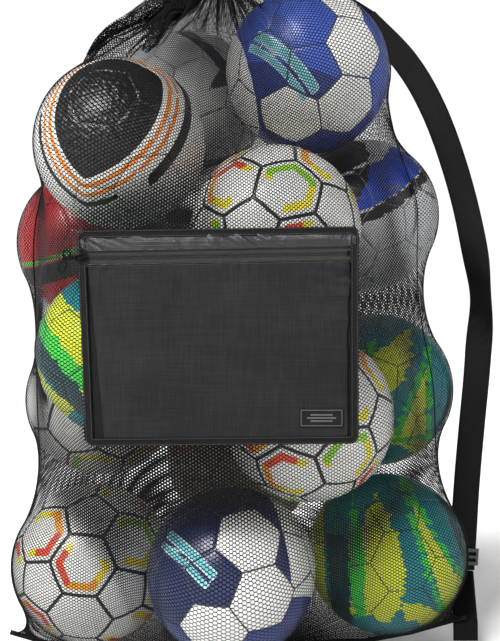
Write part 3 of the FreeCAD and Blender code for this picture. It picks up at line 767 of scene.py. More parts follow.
# For each ball in turn: its look, where its first hexagon faces, its roll in radians, and its variant.
BALL_SET = [
    ("blue", (0.45, -0.692, -0.564), 4.756, 0), ("black", (-0.1, -0.9, 0.42), 0.2, 0),
    ("white", (0.13, -0.9, 0.42), 0.52, 0), ("stripes", (0.30, -0.85, 0.40), 1.1, 0),
    ("red", (-0.55, -0.82, 0.1), 0.4, 0), ("teal", (-0.6, -0.8, 0.1), 0.9, 1),
    ("white", (-0.25, -0.9, -0.30), 0.3, 1), ("white", (0.0, -0.98, 0.18), 0.1, 2),
    ("navy", (0.225, -0.796, 0.561), 0.574, 0), ("teal", (0.1, -0.95, 0.1), 0.2, 0),
    ("teal", (0.5, -0.85, 0.1), 1.4, 2), ("white", (0.42, -0.80, -0.40), 0.75, 0),
    ("silver", (0.2, -0.9, 0.1), 0.5, 0), ("cream", (0.0, -0.95, -0.2), 0.1, 1),
    ("silver", (0.3, 0.9, 0.1), 0.8, 1),
]
# Panels round off into the seams and swell a little towards their middles; reach is in mm from a seam.
GROOVE_DEPTH, GROOVE_REACH = 1.0 * MM, 3.2
PANEL_CROWN, CROWN_REACH = 0.5 * MM, 26.0
WELD = 0.01 * MM


def make_balls():
    """Fifteen stitched balls in their CAD places."""
    points, faces, seam, panel, turn = ball_template()
    rise = GROOVE_DEPTH * smoothstep(0, GROOVE_REACH, seam) + PANEL_CROWN * smoothstep(0, CROWN_REACH, seam)
    radius = (BALL_R - GROOVE_DEPTH - PANEL_CROWN + rise)[:, None]
    looks = {}
    for node, centre, (look, aim, roll, shift) in zip(BALLS, CENTRES, BALL_SET):
        base, layers, seam_look, paint, extra = BALL_LOOKS[look]
        if look not in looks:
            looks[look] = ball_material("ball_" + look, base, layers, seam_look, **extra)
        p = points @ turn_to(aim, roll).T
        piece = new_object(node + "_casing", centre + p * radius, faces, looks[look])
        set_attribute(piece, "seam", seam)
        for k, field in enumerate(paint(p, seam, panel, turn, shift)):
            set_attribute(piece, "paint_%d" % k, field)
        weld(piece, WELD)
        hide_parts(node)


# ---- net -----------------------------------------------------------------------------------------
# A grid of this many columns round the bag and rows up it, one mesh hole to a grid point.
COLUMNS = 392
ROWS = 240
NET_LIFT = 1.4 * MM
# The spare net at the upper left keeps its fullness over an unseen round.
LOOSE = np.array([-0.1545, -0.012, 0.768])
LOOSE_R = 0.086
FLOOR = 1.2 * MM
# The net is relaxed on coarse grids first: divisor of the grid, and rounds.
LEVELS = ((8, 260), (4, 110), (2, 70), (1, 40))
TIP_LEFT = np.array([EAR_LEFT[0], 0.0, 0.022])
TIP_RIGHT = np.array([EAR_RIGHT[0] - 0.016, 0.0, 0.046])
NECK_RING = 0.030


def seam_line(s):
    """The bottom seam from the right corner (s = 0) to the left one (s = 1)."""
    x = TIP_RIGHT[0] + (TIP_LEFT[0] - TIP_RIGHT[0]) * s
    stops = (0.0, 0.05, 0.12, 0.22, 0.45, 0.7, 0.92, 1.0)
    z = np.interp(s, stops, (0.046, 0.036, 0.022, 0.009, 0.004, 0.003, 0.009, 0.024))
    y = 0.004 * np.sin(9 * s) + np.interp(s, (0, 0.3, 0.7, 1), (0, 0.012, -0.006, 0))
    return np.stack([x, y, z], axis=-1)


def first_net(columns, rows):
    """A loose start: a tall egg round the balls, closed on the bottom seam and open at the neck."""
    a = 2 * math.pi * np.arange(columns) / columns
    s = np.where(a <= math.pi, a / math.pi, 2 - a / math.pi)
    bottom = seam_line(s)
    ring = np.stack([np.cos(a), np.sin(a), 0 * a], axis=-1)
    top = NECK + ring * NECK_RING
    grid = np.zeros((rows, columns, 3))
    for j in range(rows):
        t = j / (rows - 1)
        z = 0.02 + 0.90 * t
        wide = smoothstep(0.0, 0.08, t) * (1 - 0.55 * smoothstep(0.8, 1.0, t))
        grid[j] = np.array([MID_X, 0.0, z]) + ring * np.array([0.37, 0.27, 0]) * wide
    grid[0], grid[-1] = bottom, top
    return grid


def hold_pocket(flat):
    """The net lies flat behind the pocket, which is sewn to it."""
    x, y, z = flat.T
    edge = 0.004
    under = (x > POCKET_X[0] + edge) & (x < POCKET_X[1] - edge) & (y < -0.12)
    under &= (z > POCKET[0, 1] + edge) & (z < POCKET[2, 1] - edge)
    flat[under, 1] = np.minimum(flat[under, 1], POCKET_BACK + 2.0 * MM)


def push_from(flat, centre, radius):
    """Move the points inside a sphere out to its surface."""
    away = flat - centre
    far = np.linalg.norm(away, axis=1)
    inside = far < radius
    flat[inside] = centre + away[inside] * (radius / np.maximum(far[inside], 1e-9))[:, None]


def push_out(grid, loose=True):
    """Keep the net outside the balls and above the floor, and while it is loose, behind the pocket too."""
    flat = grid.reshape(-1, 3)
    for centre in CENTRES:
        push_from(flat, centre, BALL_R + NET_LIFT)
    if loose:
        push_from(flat, LOOSE, LOOSE_R)
        hold_pocket(flat)
    flat[:, 2] = np.maximum(flat[:, 2], FLOOR)
    return flat.reshape(grid.shape)


def relax(grid, rounds):
    """Pull the net taut over the balls, with its seam and neck held."""
    columns = grid.shape[1]
    for _ in range(rounds):
        inner = grid[1:-1]
        around = (np.roll(inner, 1, axis=1) + np.roll(inner, -1, axis=1)) / 2
        along = (grid[:-2] + grid[2:]) / 2
        grid[1:-1] = inner + 0.9 * (0.5 * around + 0.5 * along - inner)
        for column in (0, columns // 2):
            grid[1:-1, column, 1] *= 0.9
        grid = push_out(grid)
        grid[0], grid[-1] = ends(columns)
    return grid


def ends(columns):
    """The held bottom seam and neck ring."""
    start = first_net(columns, 2)
    return start[0], start[1]


def finer(grid, columns, rows):
    """Resample the net's grid to more columns and rows."""
    old_rows, old_columns = grid.shape[:2]
    v = np.linspace(0, old_rows - 1, rows)
    u = np.arange(columns) * old_columns / columns
    return sample(grid, u[None, :].repeat(rows, 0), v[:, None].repeat(columns, 1))


def sample(grid, u, v):
    """The net's surface at column u and row v, both fractional: smooth in both directions."""
    rows, columns = grid.shape[:2]
    i = np.floor(u).astype(int)
    j = np.clip(np.floor(v).astype(int), 0, rows - 2)
    fu = (u - i)[..., None]
    fv = (v - j)[..., None]

    def row(k):
        """Along one row of the grid."""
        k = np.clip(k, 0, rows - 1)
        p = [grid[k, (i + d) % columns] for d in (-1, 0, 1, 2)]
        return cubic(p, fu)

    return cubic([row(j + d) for d in (-1, 0, 1, 2)], fv)


def cubic(p, f):
    """Catmull-Rom through four values."""
    a, b, c, d = p
    return b + 0.5 * f * (c - a + f * (2 * a - 5 * b + 4 * c - d + f * (3 * (b - c) + d - a)))


def net_surface():
    """The net's middle surface as a grid of points, one per mesh hole."""
    grid = None
    for divide, rounds in LEVELS:
        columns, rows = COLUMNS // divide, ROWS // divide
        grid = first_net(columns, rows) if grid is None else finer(grid, columns, rows)
        grid = relax(grid, rounds)
    return pleat(grid)


def grid_normals(grid):
    """Outward directions of a grid that closes round its columns."""
    around = np.roll(grid, -1, axis=1) - np.roll(grid, 1, axis=1)
    along = np.gradient(grid, axis=0)
    return unit(np.cross(around, along))


# Pleats: waves round the neck, their size at the neck and beyond, and where they fade.
PLEAT_WAVES = (17, 23, 31, 44)
PLEAT_SIZE, PLEAT_REST = 9.5 * MM, 1.5 * MM
PLEAT_FADE, PLEAT_END = (0.05, 0.27), (0.28, 0.36)


def pleat(grid):
    """Gathered folds that fan out from the neck and die away over the top balls."""
    rows, columns = grid.shape[:2]
    a = 2 * math.pi * np.arange(columns) / columns
    normals = grid_normals(grid)
    reach = np.linalg.norm(grid - NECK, axis=2)
    fade = 1 - smoothstep(*PLEAT_FADE, reach)
    rng = np.random.default_rng(11)
    wave = np.zeros(columns)
    for count in PLEAT_WAVES:
        wave += np.cos(count * a + rng.uniform(0, 6.3)) * rng.uniform(0.5, 1.0) * 20 / count
    wave = np.sign(wave) * np.abs(wave / np.abs(wave).max()) ** 0.8
    size = (PLEAT_SIZE * fade + PLEAT_REST) * (1 - smoothstep(*PLEAT_END, reach))
    drift = 0.25 * np.sin(reach * 30)
    shifted = np.stack([np.roll(wave, int(k)) for k in np.linspace(0, 6, rows)])
    grid = grid + normals * (shifted * size * (1 + drift))[..., None]
    pinned = first_net(columns, 2)[1]
    swirl = 0.004 * wave[:, None] * unit(pinned - NECK)
    grid[-1] = pinned + swirl
    return push_out(grid, loose=False)


# Corners of a mesh cell and of its hole, in columns and rows from the cell's middle.
CELL = ((2 / 3, 0), (1 / 3, 0.5), (-1 / 3, 0.5), (-2 / 3, 0), (-1 / 3, -0.5), (1 / 3, -0.5))
HOLE = ((1, 0), (0.52, 1), (-0.52, 1), (-1, 0), (-0.52, -1), (0.52, -1))
# Threads stand proud of their holes' edges; half widths of a side thread and of a knot.
THREAD_RISE = 0.45 * MM
SIDE_THREAD = 0.48 * MM
KNOT = 0.72 * MM
SMALLEST_HOLE, WIDEST_HOLE, TALLEST_HOLE = 0.05, 0.58, 0.42
# The net is loose from the first to the second distance off the balls, less so above these heights.
LOOSE_FROM, LOOSE_TO = 14 * MM, 55 * MM
TAUT_FROM, TAUT_TO, TAUT_SHARE = 0.62, 0.72, 0.75
LOOSE_SHRINK = 0.46


def hole_sizes(grid, loose=0.0):
    """Half the width and height of each hole, in columns and rows: the thread keeps its thickness.

    Where the net is loose it isn't pulled open, so its holes are smaller."""
    wide = np.linalg.norm(np.roll(grid, -1, axis=1) - np.roll(grid, 1, axis=1), axis=2) / 2
    tall = np.linalg.norm(np.gradient(grid, axis=0), axis=2)
    half_wide = np.clip(2 / 3 - SIDE_THREAD / np.maximum(wide, 1e-6), SMALLEST_HOLE, WIDEST_HOLE)
    half_tall = np.clip(0.5 - KNOT / np.maximum(tall, 1e-6), SMALLEST_HOLE, TALLEST_HOLE)
    open_share = 1 - LOOSE_SHRINK * loose
    return np.stack([half_wide * open_share, half_tall * open_share, 0 * wide], axis=-1)


def looseness(grid):
    """0 where the net is stretched over a ball, 1 where it is well clear of every ball."""
    near = np.full(grid.shape[:2], 1.0)
    for centre in CENTRES:
        near = np.minimum(near, np.linalg.norm(grid - centre, axis=2) - BALL_R)
    low = 1 - TAUT_SHARE * smoothstep(TAUT_FROM, TAUT_TO, grid[..., 2])
    return smoothstep(LOOSE_FROM, LOOSE_TO, near) * low


def net_cells(grid, normals, holes, first, last, low, high):
    """Points and faces of the mesh cells of some columns and rows: threads round open holes."""
    i, j = (k.ravel() for k in np.meshgrid(np.arange(first, last), np.arange(low, high)))
    v = j + 0.5 * (i % 2)
    size = sample(holes, i.astype(float), v)
    outer = [(i + du, v + dv) for du, dv in CELL]
    hole = [(i + du * size[:, 0], v + dv * size[:, 1]) for du, dv in HOLE]
    u = np.stack([c[0] for c in outer + hole])
    w = np.stack([c[1] for c in outer + hole])
    place = sample(grid, u, w)
    lift = unit(sample(normals, u, w))
    place[:6] += lift[:6] * THREAD_RISE
    count = len(i)
    key = np.round(np.stack([u[:6] * 3, w[:6] * 2], axis=-1)).astype(np.int64).reshape(-1, 2)
    code = key[:, 0] * 100000 + key[:, 1]
    _, chosen, index = np.unique(code, return_index=True, return_inverse=True)
    outer = place[:6].reshape(-1, 3)[chosen]
    index = index.reshape(6, count)
    inner = place[6:].reshape(-1, 3)
    inner_index = len(outer) + np.arange(6 * count).reshape(6, count)
    after = np.roll(np.arange(6), -1)
    faces = np.stack([index, index[after], inner_index[after], inner_index], axis=-1)
    return np.concatenate([outer, inner]), faces.reshape(-1, 4)


NET_BANDS = 4
# Folds of spare net: place round the neck as a share of the columns, rows that each drops, and radius.
FOLDS = ((0.527, 46, 0.0120), (0.565, 48, 0.0100), (0.605, 44, 0.0105), (0.645, 26, 0.0080))
FOLD_COLUMNS = 20


def make_net():
    """The sack's net, front and back, in bands up the bag."""
    grid = net_surface()
    normals = grid_normals(grid)
    holes = hole_sizes(grid, looseness(grid))
    material = net_material()
    half = COLUMNS // 2
    for side, first in (("back", 0), ("front", half)):
        for band in range(NET_BANDS):
            low = round((ROWS - 1) * band / NET_BANDS)
            high = round((ROWS - 1) * (band + 1) / NET_BANDS)
            points, faces = net_cells(grid, normals, holes, first, first + half, low, high)
            piece = new_object("net_%s_%d" % (side, band + 1), points, faces, material, smooth=False)
            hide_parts("mesh_%s_%s" % (side, "gather" if band == NET_BANDS - 1 else "panel"))
            if band == 0:
                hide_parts("corner_ear_left", "corner_ear_right")
    make_folds(grid, normals, material)
    return grid


def make_folds(grid, normals, material):
    """Bunches of spare net that hang from the neck over the left shoulder: soft tubes of the same mesh."""
    for k, (share, drop, size) in enumerate(FOLDS):
        column = int(COLUMNS * share)
        rows = np.arange(grid.shape[0] - 4, grid.shape[0] - 4 - drop, -1)
        lean = (column + 9.0 * smoothstep(0, 1, np.linspace(0, 1, drop)) * (-1) ** k).astype(float)
        spine = sample(grid, lean, rows.astype(float))
        out = unit(sample(normals, lean, rows.astype(float)))
        t = np.linspace(0, 1, drop)
        radius = size * np.sin(np.pi * np.clip(0.12 + 0.83 * t, 0, 1)) ** 0.6
        spine = spine + out * (radius * 0.75 + 1.0 * MM)[:, None]
        along = unit(np.gradient(spine, axis=0))
        side = unit(np.cross(along, out))
        turn = 2 * math.pi * np.arange(FOLD_COLUMNS) / FOLD_COLUMNS
        wave = 1 + 0.16 * np.cos(5 * turn + k)[None] + 0.10 * np.sin(9 * turn)[None]
        spoke = side[:, None] * np.cos(turn)[:, None] * 1.25 + out[:, None] * np.sin(turn)[:, None] * 0.7
        tube_grid = spine[:, None] + spoke * (radius[:, None] * wave)[..., None]
        tube_grid = np.clip(tube_grid, None, HEM_HIGH + (0.5, 0.5, 0))
        normal = grid_normals(tube_grid)
        points, faces = net_cells(tube_grid, normal, hole_sizes(tube_grid), 0, FOLD_COLUMNS, 0, drop - 1)
        piece = new_object("net_fold_%d" % (k + 1), points, faces, material, smooth=False)


# ---- seams and hem -------------------------------------------------------------------------------


def make_seams(grid, tape):
    """Folded tapes over the two side seams, and a hem along the bottom seam."""
    normals = grid_normals(grid)
    for side, column in (("right", 0), ("left", COLUMNS // 2)):
        path = respace(grid[1:-5, column] + normals[1:-5, column] * 0.9 * MM, 360)
        piece = ribbon("seam_" + side, path, (0, 1, 0), 5.0 * MM, 1.1 * MM, tape, strands=6)
        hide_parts("seam_tape_" + side)
    path = respace(grid[0, :COLUMNS // 2 + 1], 300)
    path[:, 2] = np.maximum(path[:, 2] + 2.0 * MM, 3.8 * MM)
    piece = ribbon("seam_bottom", path, (0, 0.25, 1), 6.5 * MM, 1.6 * MM, tape, strands=6)
    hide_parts("seam_tape_bottom")


HEM_OUTER = 33.9 * MM
HEM_INNER = 21.5 * MM
HEM_TURNS = 300
# The hem's section: share of the way in from outside, and share of its height.
HEM_PROFILE = ((0.0, 0.00), (0.15, 0.02), (0.25, 0.16), (0.18, 0.34), (0.0, 0.46), (-0.05, 0.62),
               (0.02, 0.80), (0.12, 0.93), (0.35, 1.0), (0.65, 1.0), (0.88, 0.93), (1.0, 0.75),
               (0.95, 0.5), (1.0, 0.25), (0.92, 0.05), (0.6, -0.02), (0.3, -0.02))
# How far the pleats go in, and how far the top edge drops with them.
HEM_RIPPLE = 1.7 * MM
HEM_LIFT = 0.8 * MM
# The cord inside swells the channel by this much, over this half height.
CORD_BULGE, CORD_REACH = 1.1 * MM, 8 * MM
EYELET_TURNS = (-108, -72)
# Heights of the hem's two rows of stitches, as shares.
HEM_ROWS = (0.30, 0.86)


def hem_ripple(turns):
    """The hem's pleats round the neck, from -1 to 1."""
    rng = np.random.default_rng(5)
    wave = np.zeros(HEM_TURNS)
    for count in (19, 29, 41):
        wave += np.cos(count * turns + rng.uniform(0, 6.3)) * rng.uniform(0.6, 1.0)
    return np.sign(wave) * (np.abs(wave) / np.abs(wave).max()) ** 0.7


def clear_of_eyelets(turns):
    """0 at the eyelets, where the hem is flat, and 1 away from them."""
    free = np.ones(HEM_TURNS)
    for eyelet in EYELET_TURNS:
        off = np.abs((turns - math.radians(eyelet) + math.pi) % (2 * math.pi) - math.pi)
        free = np.minimum(free, smoothstep(0.20, 0.34, off))
    return free


def make_hem(material):
    """The gathered hem at the neck: a pleated channel round the drawcord, flattened at its eyelets."""
    channel = middle("drawcord_loop")[2]
    tall = HEM_HIGH[2] - HEM_LOW[2]
    turns = np.linspace(0, 2 * math.pi, HEM_TURNS, endpoint=False)
    wave, near = hem_ripple(turns), clear_of_eyelets(turns)
    rings = []
    for turn, ripple, free in zip(turns, wave, near):
        spoke = np.array([math.cos(turn), math.sin(turn), 0.0])
        ring = []
        for share, height in HEM_PROFILE:
            radius = HEM_OUTER - 1.2 * MM - share * (HEM_OUTER - HEM_INNER)
            radius += (ripple - 1) * HEM_RIPPLE * free * (1 - 0.5 * share) * (0.5 + 0.5 * height)
            z = HEM_LOW[2] + height * tall + (ripple * free - 1) * HEM_LIFT * (height > 0.5)
            bulge = CORD_BULGE * math.exp(-((z - channel) / CORD_REACH) ** 2)
            ring.append(NECK * (1, 1, 0) + spoke * (radius + bulge * (share < 0.4)) + (0, 0, z))
        rings.append(ring)
    piece = loft("neck_channel", np.array(rings), material, caps=False)
    set_attribute(piece, "along", np.repeat(turns * HEM_OUTER / MM, len(HEM_PROFILE)))
    set_attribute(piece, "across", np.tile([h * 45 for _, h in HEM_PROFILE], HEM_TURNS))
    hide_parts("neck_hem")
    for k, height in enumerate(HEM_ROWS):
        turn = np.linspace(0, 2 * math.pi, 200)
        ripple = np.interp(turn, turns, wave, period=2 * math.pi)
        free = np.interp(turn, turns, near, period=2 * math.pi)
        radius = HEM_OUTER - 1.1 * MM + (ripple - 1) * HEM_RIPPLE * free * (0.5 + 0.5 * height)
        spoke = np.stack([np.cos(turn), np.sin(turn), 0 * turn], axis=1)
        path = NECK * (1, 1, 0) + spoke * radius[:, None] + (0, 0, HEM_LOW[2] + height * tall)
        stitches("hem_stitch_%d" % (k + 1), path, (0, 0, 1))


# ---- pocket --------------------------------------------------------------------------------------


def pocket_left(z):
    """The x of the pocket's slanted left edge at height z."""
    share = (z - POCKET[0, 1]) / (POCKET[3, 1] - POCKET[0, 1])
    return POCKET[0, 0] + (POCKET[3, 0] - POCKET[0, 0]) * share


def zip_z(x):
    """The height of the zip's middle line at x."""
    return ZIP_FROM[1] + (ZIP_TO[1] - ZIP_FROM[1]) * (x - ZIP_FROM[0]) / (ZIP_TO[0] - ZIP_FROM[0])


def edge_z(x, low):
    """The height of the pocket's bottom or top edge at x."""
    a, b = (POCKET[0], POCKET[1]) if low else (POCKET[3], POCKET[2])
    return a[1] + (b[1] - a[1]) * (x - a[0]) / (b[0] - a[0])


def soft_noise(s, t, seed, scale):
    """A few crossing waves, for the slow unevenness of cloth."""
    rng = np.random.default_rng(seed)
    out = 0 * s
    for k in range(7):
        a, b, c = rng.uniform(-1, 1, 3)
        out = out + np.sin(scale * (a * s + b * t) * (1 + 0.5 * k) + 6.3 * c) / (1 + 0.6 * k)
    return out / 3


def bump_at(value, centre, width):
    """A smooth hump of height 1 at centre."""
    return np.exp(-((value - centre) / width) ** 2)


# Short tucks at the pocket's right edge: height share, size in mm, width and reach as shares.
PUCKERS = ((0.950, 1.8, 0.012, 0.10), (0.880, 2.4, 0.016, 0.14), (0.912, -1.9, 0.014, 0.10),
           (0.80, 1.5, 0.022, 0.18), (0.66, 0.9, 0.02, 0.09), (0.42, 0.9, 0.02, 0.08),
           (0.18, 0.9, 0.02, 0.07))


def panel_grid():
    """The main front of the pocket: slightly full, folded over at its top and left, puckered at its right."""
    t, s = np.meshgrid(np.linspace(0, 1, 130), np.linspace(0, 1, 170), indexing="ij")
    high = smoothstep(0.60, 0.95, t)
    z_side = POCKET[0, 1] + t * (zip_z(POCKET_X[0]) - POCKET[0, 1])
    left = pocket_left(z_side) + 9.5 * MM + 11.0 * MM * (1 - t) ** 0.9
    right = POCKET_X[1] - 12.0 * MM + 3.0 * MM * high
    right = right + 1.0 * MM * np.sin(t * 31) * bump_at(t, 0.75, 0.3)
    x = left + (right - left) * s
    bottom = edge_z(x, True) + 7.0 * MM
    top = zip_z(x) - ZIP_HALF
    z = bottom + (top - bottom) * t
    full = 1.5 * MM * (np.sin(math.pi * s) ** 0.5 * np.sin(math.pi * np.clip(t, 0, 1)) ** 0.6)
    y = POCKET_FRONT - full - 0.35 * MM * soft_noise(s, t, 3, 9.0) - 0.12 * MM * soft_noise(s, t, 4, 40.0)
    edge = 1 - s
    for height, size, width, reach in PUCKERS:
        slant = height + 0.25 * edge * (1 if size > 0 else -1)
        y = y - size * MM * bump_at(t, slant, width + 0.12 * edge) * np.exp(-(edge / reach) ** 1.3)
    ripples = np.sin(s * 95 + 3 * np.sin(s * 21)) * (0.5 + 0.5 * np.sin(s * 13 + 1))
    y = y - 0.45 * MM * ripples * bump_at(t, 0.985, 0.035)
    y = y - 0.3 * MM * np.sin(s * 60 + 2) * bump_at(t, 0.0, 0.05)
    y = y + 1.6 * MM * bump_at(s, 0.0, 0.006) + 1.0 * MM * bump_at(s, 1.0, 0.005)
    y = y + 0.9 * MM * bump_at(t, 1.0, 0.006)
    return np.stack([x, y, z], axis=-1)


def header_grid():
    """The strip above the zip, puckered by the elastic pull of its stitching."""
    t, s = np.meshgrid(np.linspace(0, 1, 18), np.linspace(0, 1, 420), indexing="ij")
    x = POCKET_X[0] + 3.0 * MM + (POCKET_X[1] - POCKET_X[0] - 6.0 * MM) * s
    low = zip_z(x) + ZIP_HALF
    high = edge_z(x, False) - 6.0 * MM
    z = low + (high - low) * t
    run = s * 330
    phase = run + 14 * t * np.sin(run * 0.031 + 1) + 12 * (t - 0.5)
    folds = np.sin(2 * math.pi * phase / 31.0 + 1.5 * np.sin(run / 19))
    folds = folds + 0.55 * np.sin(2 * math.pi * (phase + 12 * t) / 17.0 + 2 * np.sin(run / 33))
    strong = 0.55 + 0.45 * np.sin(run / 26 + 0.8)
    middle_full = 0.10 + 0.90 * np.sin(math.pi * t) ** 0.8
    middle_full = middle_full * smoothstep(0.0, 0.035, s) * smoothstep(1.0, 0.965, s)
    y = POCKET_FRONT - 0.5 * MM - 1.15 * MM * folds * strong * middle_full - 0.5 * MM * np.sin(math.pi * t)
    return np.stack([x, y, z], axis=-1)


def strip_grid(left, right, low, high, y, wave):
    """A plain strip of cloth between two edges, each given as its x at the bottom and at the top."""
    t, s = np.meshgrid(np.linspace(0, 1, 90), np.linspace(0, 1, 10), indexing="ij")
    z = low + (high - low) * t
    edge = left[0] + (left[1] - left[0]) * t
    x = edge + (right[0] + (right[1] - right[0]) * t - edge) * s
    depth = y - wave * (np.sin(z * 240 + 5 * s) + 0.5 * np.sin(z * 610 + 9 * s)) * np.sin(math.pi * s)
    return np.stack([x, depth, z], axis=-1)


def rounded_outline(inset, radius, notch):
    """The pocket's outline as (x, z) from above the zip at the left, clockwise, to below the zip."""
    x = pocket_left(ZIP_FROM[1]) + inset
    start, finish = (np.array([x, ZIP_FROM[1] + side * notch]) for side in (1, -1))
    middle_xz = POCKET.mean(axis=0)
    stops = [start, *(corner + np.sign(middle_xz - corner) * inset for corner in POCKET[::-1]), finish]
    path = [start]
    for before, corner, after in zip(stops, stops[1:], stops[2:]):
        p0, p2 = (corner + unit(stop - corner) * radius for stop in (before, after))
        for t in np.linspace(0, 1, 7):
            path.append((1 - t) ** 2 * p0 + 2 * t * (1 - t) * corner + t * t * p2)
    path = np.array(path + [finish])
    return np.stack([path[:, 0], 0 * path[:, 0], path[:, 1]], axis=1)


def outward(path):
    """The direction across a tape that lies in the pocket's plane."""
    tangent = unit(np.gradient(path, axis=0))
    return np.cross(tangent, (0, 1, 0))


def make_pocket(tape, cloth_main, cloth_shiny, shaded_cloth):
    """The pocket's sheets, from the front panel back to the lining, and the welts beside its zip."""
    front = panel_grid()
    size = (float(front[0, -1, 0] - front[0, 0, 0]) + 0.012, float(front[-1, 0, 2] - front[0, 0, 2]) + 0.004)
    for name, node, grid, material, flat, held in (
            ("pocket_front", "pocket_panel", front, cloth_main, size, "stretched"),
            ("pocket_header_strip", "pocket_header", header_grid(), cloth_shiny, (0.37, 0.0205), "gathered"),
            ("pocket_lining", "pocket_back", lining_grid(), shaded_cloth, (0.32, 0.247), "stretched")):
        piece = cloth(name, grid, material)
        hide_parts(node)
    make_pleats(shaded_cloth)
    make_walls(shaded_cloth)
    make_binding(tape)
    for name, side, radius in (("upper", 1, 0.75), ("lower", -1, 0.6)):
        x = np.linspace(POCKET_X[0] + 9 * MM, POCKET_X[1] - 9 * MM, 120)
        y = POCKET_FRONT - 0.35 * MM - 0.2 * MM * np.sin(x * 420 + side)
        path = np.stack([x, y, zip_z(x) + side * (ZIP_HALF + 0.2 * MM)], axis=1)
        piece = tube("pocket_welt_" + name, path, radius * MM, cloth_shiny, sides=10)
        rise = path + (0, -0.45 * MM, side * 1.9 * MM)
        stitches("welt_stitch_" + name, rise, (0, -1, 0), pitch=2.6 * MM, length=1.9 * MM)


def lining_grid():
    """The back sheet of the pocket, just inside its outline."""
    inner = 4.0 * MM
    t, s = np.meshgrid(np.linspace(0, 1, 40), np.linspace(0, 1, 40), indexing="ij")
    left = pocket_left(POCKET[0, 1] + t * 0.25) + inner
    x = left + (POCKET_X[1] - inner - left) * s
    z = edge_z(x, True) + inner + (edge_z(x, False) - edge_z(x, True) - 2 * inner) * t
    return np.stack([x, POCKET_BACK - 0.3 * MM - 0.25 * MM * soft_noise(s, t, 8, 12.0), z], axis=-1)


def make_pleats(material):
    """The folded strips that show beside the front panel, at the left and the right, in a darker copy of the
    pocket's ripstop that paints the shade of their recess.
    """
    low, high = POCKET[0, 1] + 6 * MM, zip_z(POCKET_X[0]) - ZIP_HALF - 1 * MM
    inner_x, outer_x = POCKET_X[1] - 17 * MM, POCKET_X[1] - 6 * MM
    left = strip_grid((pocket_left(low) + 6 * MM, pocket_left(high) + 6 * MM),
                      (pocket_left(low) + 25 * MM, pocket_left(high) + 14 * MM),
                      low, high, POCKET_FRONT + 1.9 * MM, 0.30 * MM)
    right = strip_grid((inner_x, inner_x), (outer_x, outer_x),
                       low + 3 * MM, high + 5 * MM, POCKET_FRONT + 1.7 * MM, 0.25 * MM)
    for side, strip in (("left", left), ("right", right)):
        piece = cloth("pocket_pleat_" + side, strip, material)


def make_walls(material):
    """The sides of the pocket, from the bound front edge back to the net, in the darker copy of the ripstop
    that paints their shade.
    """
    path = respace(rounded_outline(1.0 * MM, 7.0 * MM, 7.0 * MM), 500)
    across = outward(path)
    run = np.linspace(0, 1, len(path))
    grid = []
    for share in np.linspace(0, 1, 9):
        y = POCKET_BACK + (POCKET_FRONT + 0.6 * MM - POCKET_BACK) * share
        tuck = (-0.9 - 0.35 * np.sin(run * 190) - 0.25 * np.sin(run * 431)) * math.sin(math.pi * share)
        grid.append(path + across * (tuck * MM)[:, None] * -1 * inward_sign(path, across) + (0, y, 0))
    piece = cloth("pocket_gusset", np.array(grid), material)


def inward_sign(path, across):
    """Whether the across direction points away from the pocket's middle (1) or towards it (-1)."""
    middle_xz = np.array([POCKET[:, 0].mean(), 0, POCKET[:, 1].mean()])
    away = ((path - middle_xz) * across).sum(axis=1)
    return float(np.sign(np.median(away)))


def make_binding(tape):
    """One ribbed tape folded over the pocket's edge, from above the zip right round to below it."""
    path = respace(rounded_outline(4.6 * MM, 6.0 * MM, 7.6 * MM), 700)
    run = np.linspace(0, 1, len(path))
    path[:, 1] = POCKET_FRONT - 1.1 * MM - 0.15 * MM * np.sin(run * 230)
    across = outward(path)
    width = 9.2 * MM + 0.35 * MM * np.sin(run * 160) + 0.25 * MM * np.sin(run * 377 + 1)
    piece = ribbon("pocket_binding", path, across, width, 1.0 * MM, tape, strands=12, crown=0.5 * MM)
    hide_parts("binding_top", "binding_right", "binding_bottom", "binding_left")
    sign = inward_sign(path, across)
    for k, shift in enumerate((3.2 * MM, -3.4 * MM)):
        row = path - across * sign * shift
        row[:, 1] = POCKET_FRONT - 1.85 * MM
        stitches("binding_stitch_%d" % (k + 1), row, (0, -1, 0))


# ---- zip, label ----------------------------------------------------------------------------------


# The coil's pitch, points to a turn, half width, half depth and the radius of its wire.
COIL_PITCH, COIL_STEPS = 1.3 * MM, 9
COIL_WIDE, COIL_DEEP, COIL_WIRE = 1.15 * MM, 0.75 * MM, 0.30 * MM
ZIP_TAPE_WIDE, ZIP_TAPE_THICK = 11.0 * MM, 0.6 * MM


def zip_line(offset, y, first, last, count):
    """A line beside the zip's centre, from first to last along it."""
    way = unit(ZIP_TO - ZIP_FROM)
    side = np.array([-way[1], way[0]])
    run = np.linspace(first, last, count)
    flat = ZIP_FROM + run[:, None] * way + side * offset
    return np.stack([flat[:, 0], y + 0 * run, flat[:, 1]], axis=1)


def make_zip(tape, coil_plastic):
    """Two woven tapes, each with its half of the coil and a row of stitches."""
    length = float(np.linalg.norm(ZIP_TO - ZIP_FROM))
    for name, side in (("lower", -1), ("upper", 1)):
        path = zip_line(side * 6.6 * MM, ZIP_Y, -2.0 * MM, length - 6 * MM, 200)
        piece = ribbon("zip_tape_%s_woven" % name, path, (0, 0, side), ZIP_TAPE_WIDE, ZIP_TAPE_THICK,
                       tape, strands=12)
        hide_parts("zip_tape_" + name)
        piece = coil("zip_teeth_" + name, side, length, coil_plastic)
        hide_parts("zip_coil_" + name)
        row = zip_line(side * 3.1 * MM, ZIP_Y - 0.45 * MM, 1.0 * MM, length - 8 * MM, 200)
        stitches("zip_stitch_" + name, row, (0, -1, 0), pitch=1.3 * MM, length=0.95 * MM)


